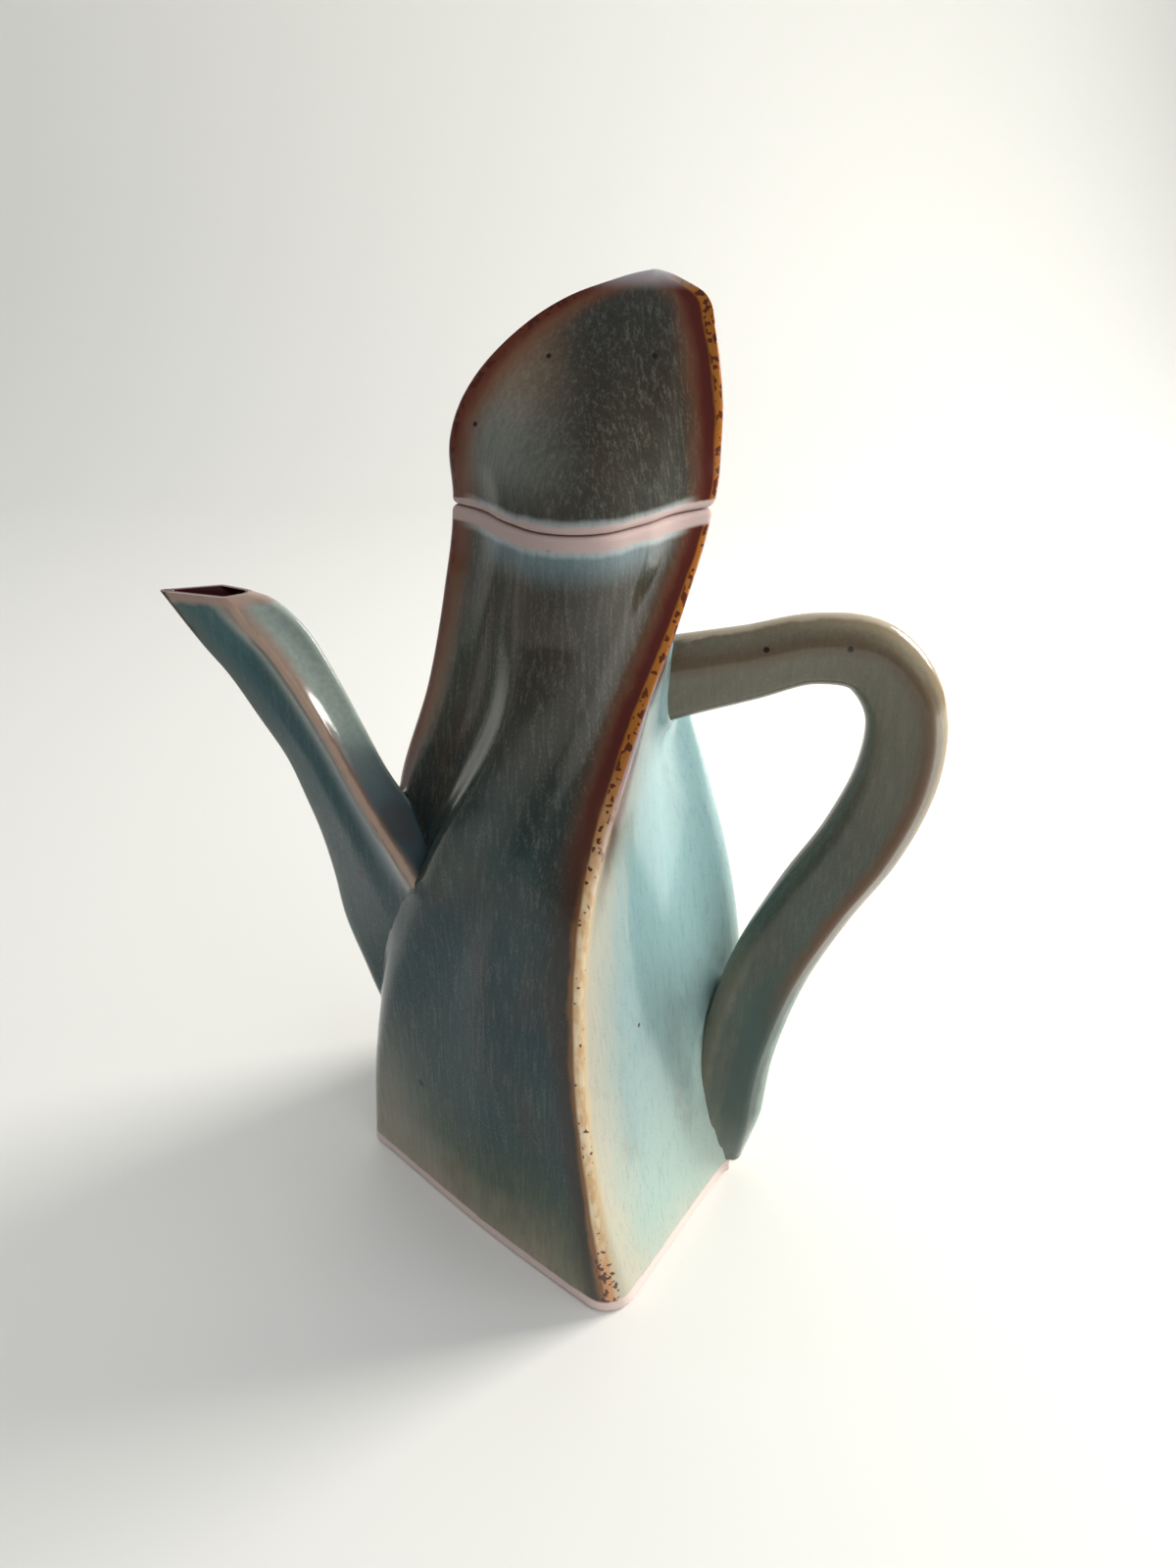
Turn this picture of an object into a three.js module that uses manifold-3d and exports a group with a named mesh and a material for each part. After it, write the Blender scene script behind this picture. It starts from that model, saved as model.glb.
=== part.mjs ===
// A hand-built stoneware teapot: a square tower that turns a quarter of the way round as it rises,
// with a keeled spout, a strap handle and a lid that carries the tower on to a leaning tip.
// Millimetres, +Z up. The origin is on the surface it stands on, under the middle of the neck.
// +X is towards the handle, -X towards the spout, -Y towards the front.

import * as THREE from 'three';
import { mergeVertices } from 'three/addons/utils/BufferGeometryUtils.js';
import Module from 'manifold-3d';

const wasm = await Module();
wasm.setup();

// Heights
const NECK_HEIGHT = 212.6;      // the mouth of the pot, where the lid sits
const LID_HEIGHT = 50.8;        // from the mouth of the pot to the tip of the lid

// Base corners, on the floor. The base is a rectangle of about 105 by 75, pulled a little askew.
const LEFT_REACH = 70.4;        // from the axis to the corner under the spout
const RIGHT_REACH = 52.5;       // from the axis to the corner under the handle
const FRONT_REACH = 66.5;       // from the axis to the front corner, along Y
const FRONT_OFFSET = 11.5;      // how far the front corner lies towards the handle

// Neck and tip
const NECK_HALF_WIDTH = 31.2;   // from the axis to each of the two sharp ridges
const NECK_HALF_DEPTH = 32;     // from the axis to each of the two soft corners
const TIP_LEAN = 16;            // how far the tip of the lid stands towards the handle
const TIP_BACK = 3;             // how far it stands behind the axis
const TIP_HALF_WIDTH = 3;
const TIP_HALF_DEPTH = 1.6;

// Walls, clearances and floor
const WALL = 4.6;
const SPOUT_WALL = 3.2;
const LIP_WALL = 1.2;           // at the mouth of the spout
const FLOOR = 6;
const LID_CROWN = 19;           // solid clay from the top of the lid's hollow to its tip
const JOINT = 0.3;              // the width of a luted joint, and of the seam under the lid

// Ridges, soft corners and the modelling of the faces
const RIDGE_RADIUS = 2.4;
const FOOT_RADIUS = 9;          // the front and back corners are rounder where they meet the floor
const SOFT_RADIUS = 9;          // the bulge under the handle; the front panel turns more gently
const NECK_SOFT_RADIUS = 16;
const FOOT_SOFT_RADIUS = 3;
const TIP_RADIUS = 1;
const HOLLOW_DEPTH = 6;         // the hollow beside each sharp ridge
const CREASE_DEPTH = 2.5;       // the shallow crease where the spout leaves the front panel
const PINCH_DEPTH = 1.4;        // how far the walls draw in beside a ridge
const FOOT_BOW = 1.8;           // how far the long sides of the base bow out

// Spout
const SPOUT_REACH = 108.8;      // from the axis to the tip of the mouth
const MOUTH_HEIGHT = 190.2;
const MOUTH_WIDTH = 10.4;
const SPOUT_WIDTH = 56;         // across its root
const SPOUT_EDGE_RADIUS = 2.2;
const KEEL_RADIUS = 4;          // under the root
const KEEL_TIP_RADIUS = 0.8;
const STRAINER_HOLE = 6;
const STRAINER_PITCH = 9;
const STRAINER_HEIGHT = 96;     // of the middle hole

// Handle
const HANDLE_REACH = 82.4;      // from the axis to the middle of the strap where it stands out most
const HANDLE_HEIGHT = 178.5;    // of the middle of the strap at its top
const HANDLE_SWAY = 10.5;       // how far the strap stands towards the front
const HANDLE_DEPTH = 15;        // across the strap, front to back
const HANDLE_ROOT_WIDTH = 25;
const HANDLE_TOP_WIDTH = 19;
const HANDLE_BEND_WIDTH = 24.5;
const HANDLE_FOOT_WIDTH = 24;
const HANDLE_TIP_WIDTH = 9;
const HANDLE_RADII = [1.6, 2.6, 4, 5, 4];

// Lid flange
const FLANGE_DEPTH = 9;         // how far it reaches down into the neck
const FLANGE_COLLAR = 5;        // how far it reaches up inside the lid
const FLANGE_WALL = 3.6;
const FLANGE_CLEARANCE = 1.2;

// Facets
const CORNER_STEPS = 5;
const SIDE_STEPS = 7;
const PLAIN_STEPS = 2;
const HANDLE_STEPS = 26;
const BODY_STEPS = 26;
const LID_STEPS = 16;
const CAVITY_STEPS = 8;
const HOLE_SIDES = 16;

const RIM = NECK_HEIGHT - JOINT / 2;
const LID_FOOT = NECK_HEIGHT + JOINT / 2;
const LID_TOP = NECK_HEIGHT + LID_HEIGHT;
const CAVITY_TOP = LID_TOP - LID_CROWN;
const BEYOND = WALL;            // how far a cutting solid runs past what it cuts

const mix = THREE.MathUtils.lerp;
const shares = (size, values) => values.map((value) => size * value);

// Smooth curve through values given at rising places, flat beyond them.
function through(places, values, place) {
  const last = places.length - 1;
  if (place <= places[0]) return values[0];
  if (place >= places[last]) return values[last];
  const k = places.findIndex((p, i) => place < places[i + 1]);
  const slope = (i) => {
    const a = Math.max(i - 1, 0);
    const b = Math.min(i + 1, last);
    return (values[b] - values[a]) / (places[b] - places[a]);
  };
  const span = places[k + 1] - places[k];
  const t = (place - places[k]) / span;
  const rise = values[k + 1] - values[k];
  const a = slope(k) * span - rise;
  const b = rise - slope(k + 1) * span;
  return mix(values[k], values[k + 1], t) + t * (1 - t) * (a * (1 - t) + b * t);
}

const levels = (from, to, steps) => Array.from({ length: steps + 1 }, (_, i) => mix(from, to, i / steps));

// Moves each side of a polygon inwards by the same distance.
function insetPolygon(corners, inset) {
  const leastTurn = 0.05;
  const count = corners.length;
  return corners.map((corner, i) => {
    const before = corners[(i + count - 1) % count];
    const after = corners[(i + 1) % count];
    const d1 = corner.clone().sub(before).normalize();
    const d2 = after.clone().sub(corner).normalize();
    const turn = Math.max(d1.x * d2.y - d1.y * d2.x, leastTurn);
    return corner.clone().addScaledVector(d2, inset / turn).addScaledVector(d1, -inset / turn);
  });
}

// A closed outline: a polygon with rounded corners, and hollows pressed into its sides.
// hollows[i] lists those of the side after corner i: depth, and middle and spread as shares of the side.
function outline(corners, radii, sideSteps, hollows = []) {
  const mostOfSide = 0.45;
  const count = corners.length;
  const points = [];
  const lengths = corners.map((corner, i) => corner.distanceTo(corners[(i + 1) % count]));
  const fillets = corners.map((corner, i) => {
    const before = corners[(i + count - 1) % count];
    const after = corners[(i + 1) % count];
    const d1 = corner.clone().sub(before).normalize();
    const d2 = after.clone().sub(corner).normalize();
    const halfTurn = Math.acos(THREE.MathUtils.clamp(d1.dot(d2), -1, 1)) / 2;
    const room = mostOfSide * Math.min(lengths[i], lengths[(i + count - 1) % count]);
    const reach = Math.min(radii[i] * Math.tan(halfTurn), room);
    return {
      from: corner.clone().addScaledVector(d1, -reach),
      to: corner.clone().addScaledVector(d2, reach),
      weight: Math.cos(halfTurn),
    };
  });
  for (let i = 0; i < count; i += 1) {
    const { from, to, weight } = fillets[i];
    for (let s = 0; s < CORNER_STEPS; s += 1) {
      const t = s / (CORNER_STEPS - 1);
      const w = [(1 - t) * (1 - t), 2 * weight * t * (1 - t), t * t];
      const sum = w[0] + w[1] + w[2];
      points.push(new THREE.Vector2()
        .addScaledVector(from, w[0] / sum)
        .addScaledVector(corners[i], w[1] / sum)
        .addScaledVector(to, w[2] / sum));
    }
    const next = fillets[(i + 1) % count].from;
    const along = corners[(i + 1) % count].clone().sub(corners[i]).normalize();
    const inward = new THREE.Vector2(-along.y, along.x);
    for (let s = 1; s < sideSteps; s += 1) {
      const point = to.clone().lerp(next, s / sideSteps);
      const share = point.clone().sub(corners[i]).dot(along) / lengths[i];
      for (const { depth, at, spread } of hollows[i] ?? []) {
        const near = Math.max(0, 1 - ((share - at) / spread) ** 2);
        point.addScaledVector(inward, depth * near * near);
      }
      points.push(point);
    }
  }
  return points;
}

// A closed solid through a row of rings with the same number of points, capped at both ends.
// Each four-sided patch is split along its shorter diagonal.
function loft(rings) {
  const count = rings[0].length;
  const position = rings.flat().flatMap((p) => [p.x, p.y, p.z]);
  const index = [];
  for (let r = 0; r < rings.length - 1; r += 1) {
    for (let i = 0; i < count; i += 1) {
      const j = (i + 1) % count;
      const [a, b] = [r * count + i, r * count + j];
      const [c, d] = [a + count, b + count];
      const rising = rings[r][i].distanceTo(rings[r + 1][j]);
      const falling = rings[r][j].distanceTo(rings[r + 1][i]);
      if (rising < falling) index.push(a, b, d, a, d, c);
      else index.push(a, b, c, b, d, c);
    }
  }
  for (const [r, facesDown] of [[0, true], [rings.length - 1, false]]) {
    const middle = new THREE.Vector3();
    rings[r].forEach((p) => middle.addScaledVector(p, 1 / count));
    const hub = position.length / 3;
    position.push(middle.x, middle.y, middle.z);
    for (let i = 0; i < count; i += 1) {
      const a = r * count + i;
      const b = r * count + ((i + 1) % count);
      if (facesDown) index.push(hub, b, a);
      else index.push(hub, a, b);
    }
  }
  const geometry = new THREE.BufferGeometry();
  geometry.setAttribute('position', new THREE.Float32BufferAttribute(position, 3));
  geometry.setIndex(index);
  return geometry;
}

function solid(geometry) {
  const mergeDistance = 1e-4;
  const bare = geometry.clone();
  bare.deleteAttribute('normal');
  bare.deleteAttribute('uv');
  const merged = mergeVertices(bare, mergeDistance);
  return new wasm.Manifold(new wasm.Mesh({
    numProp: 3,
    vertProperties: new Float32Array(merged.attributes.position.array),
    triVerts: new Uint32Array(merged.index.array),
  }));
}

function toGeometry(manifold) {
  const mesh = manifold.getMesh();
  const geometry = new THREE.BufferGeometry();
  geometry.setAttribute('position', new THREE.BufferAttribute(mesh.vertProperties, 3));
  geometry.setIndex(new THREE.BufferAttribute(mesh.triVerts, 1));
  geometry.computeVertexNormals();
  return geometry;
}

// The tower's four edges. Each is given by where it stands, in X and Y, at a row of stations up the
// tower: shares of NECK_HEIGHT up to 1, then 1 plus shares of LID_HEIGHT.
const STATIONS = [0, 0.2, 0.4, 0.6, 0.78, 0.9, 1, 1.3, 1.56, 1.76, 1.9, 2];
const EDGES = {
  front: {
    x: [FRONT_OFFSET,
      ...shares(NECK_HALF_WIDTH, [0.17, 0.04, 0.1, 0.47, 0.81, 1.03, 1.1, 1.11, 1.05, 0.93]),
      TIP_LEAN + TIP_HALF_WIDTH],
    y: [...shares(FRONT_REACH, [-1, -0.917, -0.827, -0.66, -0.39, -0.18, -0.015, 0.03, 0.045, 0.06, 0.06]),
      TIP_BACK],
  },
  right: {
    x: [...shares(RIGHT_REACH, [1, 0.987, 1.036, 0.933, 0.63, 0.305, 0.04, 0.076, 0.15, 0.23, 0.29]),
      TIP_LEAN],
    y: [...shares(NECK_HALF_DEPTH, [0, 0.06, 0.22, 0.375, 0.625, 0.875, 1, 0.84, 0.625, 0.41, 0.28]),
      TIP_BACK + TIP_HALF_DEPTH],
  },
  back: {
    x: [RIGHT_REACH - LEFT_REACH - FRONT_OFFSET,
      ...shares(NECK_HALF_WIDTH, [-1.41, -1.7, -1.73, -1.35, -1.15, -1.03, -1.045, -0.9, -0.56, -0.12]),
      TIP_LEAN - TIP_HALF_WIDTH],
    y: [...shares(FRONT_REACH, [1, 0.75, 0.51, 0.18, 0.06, 0.03, 0.015, 0.015, 0.03, 0.045, 0.045]),
      TIP_BACK],
  },
  left: {
    x: [...shares(LEFT_REACH, [-1, -0.952, -0.824, -0.568, -0.256, -0.128, -0.03, -0.03, 0.03, 0.085, 0.142]),
      TIP_LEAN],
    y: [...shares(NECK_HALF_DEPTH, [0, -0.125, -0.44, -0.906, -1.09, -1.09, -1.09, -0.78, -0.375, -0.125, 0]),
      TIP_BACK - TIP_HALF_DEPTH],
  },
};

// How round each edge is, station by station. The front and back edges are the sharp ridges.
const RIDGE = [FOOT_RADIUS, ...shares(RIDGE_RADIUS, [1.4, 1, 1, 1, 1, 1, 1, 1, 1, 1]), TIP_RADIUS];
const NECK_SOFT = Array(5).fill(NECK_SOFT_RADIUS);
const LEFT_SOFT = [FOOT_SOFT_RADIUS, ...shares(SOFT_RADIUS, [1, 2, 3, 3, 2]), ...NECK_SOFT, TIP_RADIUS];
const RIGHT_SOFT = [FOOT_SOFT_RADIUS, ...shares(SOFT_RADIUS, [0.8, 1, 1, 1, 1.4]), ...NECK_SOFT, TIP_RADIUS];

// What is pressed into the sides: how deep at each station, and where along the side. After a ridge
// lie a broad hollow and a pinch; before a ridge lie a crease, a pinch and the bow of the base.
const HOLLOW = { at: 0.62, spread: 0.42, depths: shares(HOLLOW_DEPTH, [0, 0.45, 1, 1, 0.9, 0.4, 0, 0, 0, 0, 0, 0]) };
const CREASE = { at: 0.3, spread: 0.3, depths: shares(CREASE_DEPTH, [0, 0.2, 1, 1, 0.3, 0, 0, 0, 0, 0, 0, 0]) };
const BOW = { at: 0.55, spread: 0.55, depths: shares(-FOOT_BOW, [1, 0.5, 0.1, 0, 0, 0, 0, 0, 0, 0, 0, 0]) };
const pinchDepths = shares(PINCH_DEPTH, [0, 0.5, 0.6, 0.8, 1, 1, 1, 1, 1, 0.8, 0.4, 0]);
const PINCH_AFTER = { at: 0.24, spread: 0.24, depths: pinchDepths };
const PINCH_BEFORE = { at: 0.76, spread: 0.24, depths: pinchDepths };

const stationAt = (height) => (height <= NECK_HEIGHT
  ? height / NECK_HEIGHT
  : 1 + (height - NECK_HEIGHT) / LID_HEIGHT);
const edgeX = (edge, height) => through(STATIONS, edge.x, stationAt(height));

function towerOutline(height, inset) {
  const station = stationAt(height);
  const at = (values) => through(STATIONS, values, station);
  const corners = [EDGES.front, EDGES.right, EDGES.back, EDGES.left]
    .map((edge) => new THREE.Vector2(at(edge.x), at(edge.y)));
  const radii = [RIDGE, RIGHT_SOFT, RIDGE, LEFT_SOFT].map((table) => Math.max(at(table) - inset, TIP_RADIUS));
  const pressed = (hollows) => hollows.map(({ at: middle, spread, depths }) => (
    { at: middle, spread, depth: at(depths) }));
  const afterRidge = pressed([HOLLOW, PINCH_AFTER]);
  const beforeRidge = pressed([CREASE, PINCH_BEFORE, BOW]);
  return outline(insetPolygon(corners, inset), radii, SIDE_STEPS,
    [afterRidge, beforeRidge, afterRidge, beforeRidge]);
}

const towerRing = (height, inset) => towerOutline(height, inset)
  .map((p) => new THREE.Vector3(p.x, p.y, height));

const towerSolid = (heights, inset) => solid(loft(heights.map((height) => towerRing(height, inset))));

// A straight upright bar with the tower's outline at one height.
function bar(height, inset, from, to) {
  const points = towerOutline(height, inset);
  return solid(loft([from, to].map((z) => points.map((p) => new THREE.Vector3(p.x, p.y, z)))));
}

const bodyLevels = levels(0, RIM, BODY_STEPS);
const lidLevels = levels(LID_FOOT, LID_TOP, LID_STEPS);
const pastBody = [-BEYOND, ...bodyLevels, RIM + BEYOND];
const bodyKeepOut = towerSolid(pastBody, -JOINT);
const bodyInside = towerSolid(pastBody, WALL);

// The half of a tower between the two sharp ridges, on the spout's side or on the handle's side,
// closed through the middle. The slabs of the pot and of the lid meet at the ridges, each held back
// by half a joint.
function halfTower(heights, onSpoutSide) {
  const ridge = (CORNER_STEPS - 1) / 2;
  return solid(loft(heights.map((height) => {
    const ring = towerRing(height, 0);
    const half = ring.length / 2;
    const start = onSpoutSide ? ridge + half : ridge;
    const points = Array.from({ length: half + 1 }, (_, i) => ring[(start + i) % ring.length]);
    const hold = (end, next) => end.clone()
      .addScaledVector(next.clone().sub(end).normalize(), JOINT / 2);
    const middle = ring.reduce((sum, p) => sum.addScaledVector(p, 1 / ring.length), new THREE.Vector3());
    return [hold(points[0], points[1]), ...points.slice(1, half), hold(points[half], points[half - 1]),
      middle];
  })));
}

// Spout: sections from the root, inside the body, to the mouth. Each is a kite with its keel below,
// its top ridge above and a side ridge on each side. Keel and top are shares of SPOUT_REACH out and
// of MOUTH_HEIGHT up. For the side ridges, front and back, each pair says how far along from keel to
// top the ridge stands, and how far the width has gone from MOUTH_WIDTH to SPOUT_WIDTH. The back
// ridge stays inside the pot's own back ridge until it is clear of the pot.
const SPOUT_SECTIONS = [
  { keel: [0.542, 0.179], top: [0.165, 0.294], front: [0.95, 0.5], back: [0.8, 0.5] },
  { keel: [0.612, 0.284], top: [0.211, 0.394], front: [0.95, 0.6], back: [0.8, 0.6] },
  { keel: [0.643, 0.389], top: [0.257, 0.489], front: [0.95, 0.8], back: [0.8, 0.7] },
  { keel: [0.669, 0.478], top: [0.312, 0.573], front: [0.95, 0.95], back: [0.78, 0.66] },
  { keel: [0.68, 0.559], top: [0.377, 0.636], front: [0.95, 0.91], back: [0.76, 0.4] },
  { keel: [0.697, 0.626], top: [0.441, 0.689], front: [0.92, 0.69], back: [0.74, 0.28] },
  { keel: [0.722, 0.687], top: [0.489, 0.741], front: [0.87, 0.52], back: [0.72, 0.25] },
  { keel: [0.755, 0.752], top: [0.533, 0.807], front: [0.79, 0.36], back: [0.7, 0.25] },
  { keel: [0.812, 0.814], top: [0.577, 0.876], front: [0.73, 0.23], back: [0.68, 0.2] },
  { keel: [0.868, 0.873], top: [0.629, 0.95], front: [0.66, 0.12], back: [0.64, 0.12] },
  { keel: [0.925, 0.922], top: [0.686, 0.993], front: [0.64, 0.05], back: [0.62, 0.05] },
  { keel: [1, 1], top: [0.739, 1], front: [0.72, 0], back: [0.6, 0] },
];

function spoutRings(wall, lip) {
  const last = SPOUT_SECTIONS.length - 1;
  const leastRadius = 0.5;
  const point = ([out, up]) => new THREE.Vector3(-SPOUT_REACH * out, 0, MOUTH_HEIGHT * up);
  const half = (wide) => mix(MOUTH_WIDTH, SPOUT_WIDTH, wide) / 2;
  return SPOUT_SECTIONS.map(({ keel: low, top: high, front, back }, i) => {
    const inset = mix(wall, lip, Math.max(0, 2 * (i / last) - 1));
    const keel = point(low);
    const top = point(high);
    const length = top.distanceTo(keel);
    const across = top.clone().sub(keel).divideScalar(length);
    const corners = [[0, 0], [length * front[0], -half(front[1])], [length, 0],
      [length * back[0], half(back[1])]]
      .map(([u, v]) => new THREE.Vector2(u, v));
    const keelRadius = mix(KEEL_RADIUS, KEEL_TIP_RADIUS, i / last);
    const radii = [keelRadius, SPOUT_EDGE_RADIUS, SPOUT_EDGE_RADIUS, SPOUT_EDGE_RADIUS]
      .map((radius) => Math.max(radius - inset, leastRadius));
    return outline(insetPolygon(corners, inset), radii, PLAIN_STEPS)
      .map((p) => keel.clone().addScaledVector(across, p.x).setY(p.y));
  });
}

function makeSpout() {
  const outside = solid(loft(spoutRings(0, 0)));
  const rings = spoutRings(SPOUT_WALL, LIP_WALL);
  const pastMouth = rings[rings.length - 1].map((p) => p.clone().add(new THREE.Vector3(-BEYOND, 0, 2 * BEYOND)));
  const inside = solid(loft([...rings, pastMouth]));
  return outside.subtract(inside).subtract(bodyKeepOut);
}

// Handle: a strap that leaves the neck, bends over and comes down to the foot of the pot.
// Each point is [out, sway, up]: shares of the way from the tower's right edge to HANDLE_REACH,
// of HANDLE_SWAY and of HANDLE_HEIGHT.
const HANDLE_POINTS = [
  [-0.41, 0.29, 0.936], [-0.08, 0.38, 0.958], [0.26, 0.38, 0.978], [0.575, 0.38, 1], [0.823, 0.48, 0.989],
  [0.992, 0.57, 0.916], [1, 0.67, 0.812], [0.79, 0.76, 0.7], [0.39, 0.86, 0.594], [-0.01, 0.95, 0.471],
  [-0.185, 1, 0.336], [-0.23, 1, 0.213], [-0.21, 0.86, 0.112], [-0.16, 0.67, 0.034],
];
const HANDLE_PATH = new THREE.CatmullRomCurve3(HANDLE_POINTS.map(([out, sway, up]) => {
  const height = HANDLE_HEIGHT * up;
  const x = mix(edgeX(EDGES.right, height), HANDLE_REACH, out);
  return new THREE.Vector3(x, -HANDLE_SWAY * sway, height);
}), false, 'centripetal');

// Its width at shares of its length, its depth, and its section: shares of width and depth from the
// middle, with the flatter face outwards.
const HANDLE_WIDTHS = {
  at: [0, 0.1, 0.2, 0.45, 0.62, 0.8, 0.9, 0.96, 1],
  width: [HANDLE_ROOT_WIDTH, mix(HANDLE_ROOT_WIDTH, HANDLE_TOP_WIDTH, 0.6), HANDLE_TOP_WIDTH,
    HANDLE_BEND_WIDTH, HANDLE_BEND_WIDTH, HANDLE_FOOT_WIDTH, HANDLE_FOOT_WIDTH,
    mix(HANDLE_TIP_WIDTH, HANDLE_FOOT_WIDTH, 0.5), HANDLE_TIP_WIDTH],
};
const HANDLE_DEPTHS = { at: [0, 0.9, 1], depth: shares(HANDLE_DEPTH, [1, 1, 0.6]) };
const HANDLE_SECTION = [[0.22, -0.5], [0.5, -0.05], [0.36, 0.48], [-0.44, 0.4], [-0.5, -0.3]];

function makeHandle() {
  const rings = [];
  for (let i = 0; i <= HANDLE_STEPS; i += 1) {
    const t = i / HANDLE_STEPS;
    const centre = HANDLE_PATH.getPointAt(t);
    const tangent = HANDLE_PATH.getTangentAt(t).setY(0).normalize();
    const outward = new THREE.Vector3(-tangent.z, 0, tangent.x);
    const width = through(HANDLE_WIDTHS.at, HANDLE_WIDTHS.width, t);
    const depth = through(HANDLE_DEPTHS.at, HANDLE_DEPTHS.depth, t);
    const corners = HANDLE_SECTION.map(([u, v]) => new THREE.Vector2(u * width, v * depth));
    rings.push(outline(corners, HANDLE_RADII, PLAIN_STEPS).reverse()
      .map((p) => centre.clone().addScaledVector(outward, p.x).add(new THREE.Vector3(0, p.y, 0))));
  }
  return solid(loft(rings)).subtract(bodyKeepOut);
}

// Strainer holes through the wall at the root of the spout: one in the middle and a ring round it.
function strainer() {
  const ringCount = 6;
  const holes = [[0, 0]];
  for (let i = 0; i < ringCount; i += 1) {
    const turn = (2 * Math.PI * i) / ringCount;
    holes.push([STRAINER_PITCH * Math.cos(turn), STRAINER_PITCH * Math.sin(turn)]);
  }
  const wallX = edgeX(EDGES.left, STRAINER_HEIGHT);
  const radius = STRAINER_HOLE / 2;
  return holes.map(([y, z]) => {
    const hole = new THREE.CylinderGeometry(radius, radius, 8 * WALL, HOLE_SIDES);
    hole.rotateZ(Math.PI / 2);
    hole.translate(wallX, y, STRAINER_HEIGHT + z);
    return solid(hole);
  }).reduce((a, b) => a.add(b));
}

const makeFrontWall = () => halfTower(bodyLevels, true).subtract(bodyInside).subtract(strainer());
const makeBackWall = () => halfTower(bodyLevels, false).subtract(bodyInside);
const makeFloor = () => towerSolid(levels(0, FLOOR, 2), WALL + JOINT);

const lidInside = towerSolid(levels(LID_FOOT - BEYOND, CAVITY_TOP, CAVITY_STEPS), WALL);
const makeLidSlab = (onSpoutSide) => halfTower(lidLevels, onSpoutSide).subtract(lidInside);

// A ring inside the seam. Its spigot hangs in the neck with a clearance all round, and its collar
// is luted inside the lid. Both are upright, so that the lid lifts straight off.
function makeFlange() {
  const bottom = NECK_HEIGHT - FLANGE_DEPTH;
  const top = NECK_HEIGHT + FLANGE_COLLAR;
  const shared = (heights, inset, from, to) => heights
    .map((height) => bar(height, inset, from, to))
    .reduce((a, b) => a.intersect(b));
  const inNeck = levels(bottom, RIM, 2);
  const inLid = levels(LID_FOOT, top, 2);
  const spigot = shared([...inNeck, ...inLid], WALL + FLANGE_CLEARANCE, bottom, top);
  const collar = shared(inLid, WALL + JOINT, LID_FOOT, top);
  const hole = shared(inNeck, WALL + FLANGE_CLEARANCE + FLANGE_WALL, bottom - BEYOND, top + BEYOND);
  return spigot.add(collar).subtract(hole);
}

const GLAZE = { roughness: 0.22, metalness: 0 };
const materials = {
  celadon: () => new THREE.MeshStandardMaterial({ color: 0x7f9384, ...GLAZE }),
  clay: () => new THREE.MeshStandardMaterial({ color: 0xd9b3a6, roughness: 0.9, metalness: 0 }),
};

const group = new THREE.Group();
function place(name, manifold, material) {
  const mesh = new THREE.Mesh(toGeometry(manifold), material);
  mesh.name = name;
  group.add(mesh);
}

place('front_wall', makeFrontWall(), materials.celadon());
place('back_wall', makeBackWall(), materials.celadon());
place('floor_slab', makeFloor(), materials.clay());
place('spout', makeSpout(), materials.celadon());
place('handle', makeHandle(), materials.celadon());
place('lid_front', makeLidSlab(true), materials.celadon());
place('lid_back', makeLidSlab(false), materials.celadon());
place('lid_flange', makeFlange(), materials.clay());

export default group;
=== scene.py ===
"""The looks of a hand-built stoneware teapot: its glazed skins, the floor, the lights and the camera.

Every surface is a row of rings worked out with numpy, in millimetres, and put into its mesh in metres.
"""

import math

import bmesh
import bpy
import numpy as np
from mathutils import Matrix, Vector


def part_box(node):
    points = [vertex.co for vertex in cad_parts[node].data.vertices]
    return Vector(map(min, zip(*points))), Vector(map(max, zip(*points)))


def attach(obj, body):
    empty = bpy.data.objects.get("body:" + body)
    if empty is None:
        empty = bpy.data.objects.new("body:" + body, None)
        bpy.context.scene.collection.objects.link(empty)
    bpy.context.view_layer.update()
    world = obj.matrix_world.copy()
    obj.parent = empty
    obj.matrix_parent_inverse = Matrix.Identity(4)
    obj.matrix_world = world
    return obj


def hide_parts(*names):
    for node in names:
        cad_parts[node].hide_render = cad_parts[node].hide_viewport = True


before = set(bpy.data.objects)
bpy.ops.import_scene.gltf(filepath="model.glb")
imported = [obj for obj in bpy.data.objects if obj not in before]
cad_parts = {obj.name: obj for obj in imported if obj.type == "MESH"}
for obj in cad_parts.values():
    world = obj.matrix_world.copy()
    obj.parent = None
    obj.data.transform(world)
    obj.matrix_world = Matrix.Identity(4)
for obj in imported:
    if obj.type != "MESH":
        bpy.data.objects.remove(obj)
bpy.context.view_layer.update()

MM = 0.001


def low(node, axis):
    """Lowest place of a CAD node along an axis, in millimetres."""
    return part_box(node)[0][axis] / MM


def high(node, axis):
    """Highest place of a CAD node along an axis, in millimetres."""
    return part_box(node)[1][axis] / MM


# Sizes that the frame gives
RIM = high("front_wall", 2)
LID_FOOT = low("lid_front", 2)
LID_TOP = high("lid_front", 2)
MOUTH_HEIGHT = high("spout", 2)
NECK_HEIGHT = (RIM + LID_FOOT) / 2
LID_HEIGHT = LID_TOP - NECK_HEIGHT

# Base corners, neck and tip
LEFT_REACH = 70.4
RIGHT_REACH = 52.5
FRONT_REACH = 66.5
FRONT_OFFSET = 11.5
NECK_HALF_WIDTH = 31.2
NECK_HALF_DEPTH = 32
TIP_LEAN = 16
TIP_BACK = 3
TIP_HALF_WIDTH = 3
TIP_HALF_DEPTH = 1.6

# Walls and edges
WALL = 4.6
SPOUT_WALL = 3.2
LIP_WALL = 1.2
LID_CROWN = 19
LID_CLOSING = 4
RIM_ROUND = 1.5
FOOT_ROUND = 1.8
TIP_ROUND = 1.4
LIP_ROUND = 0.5

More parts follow.
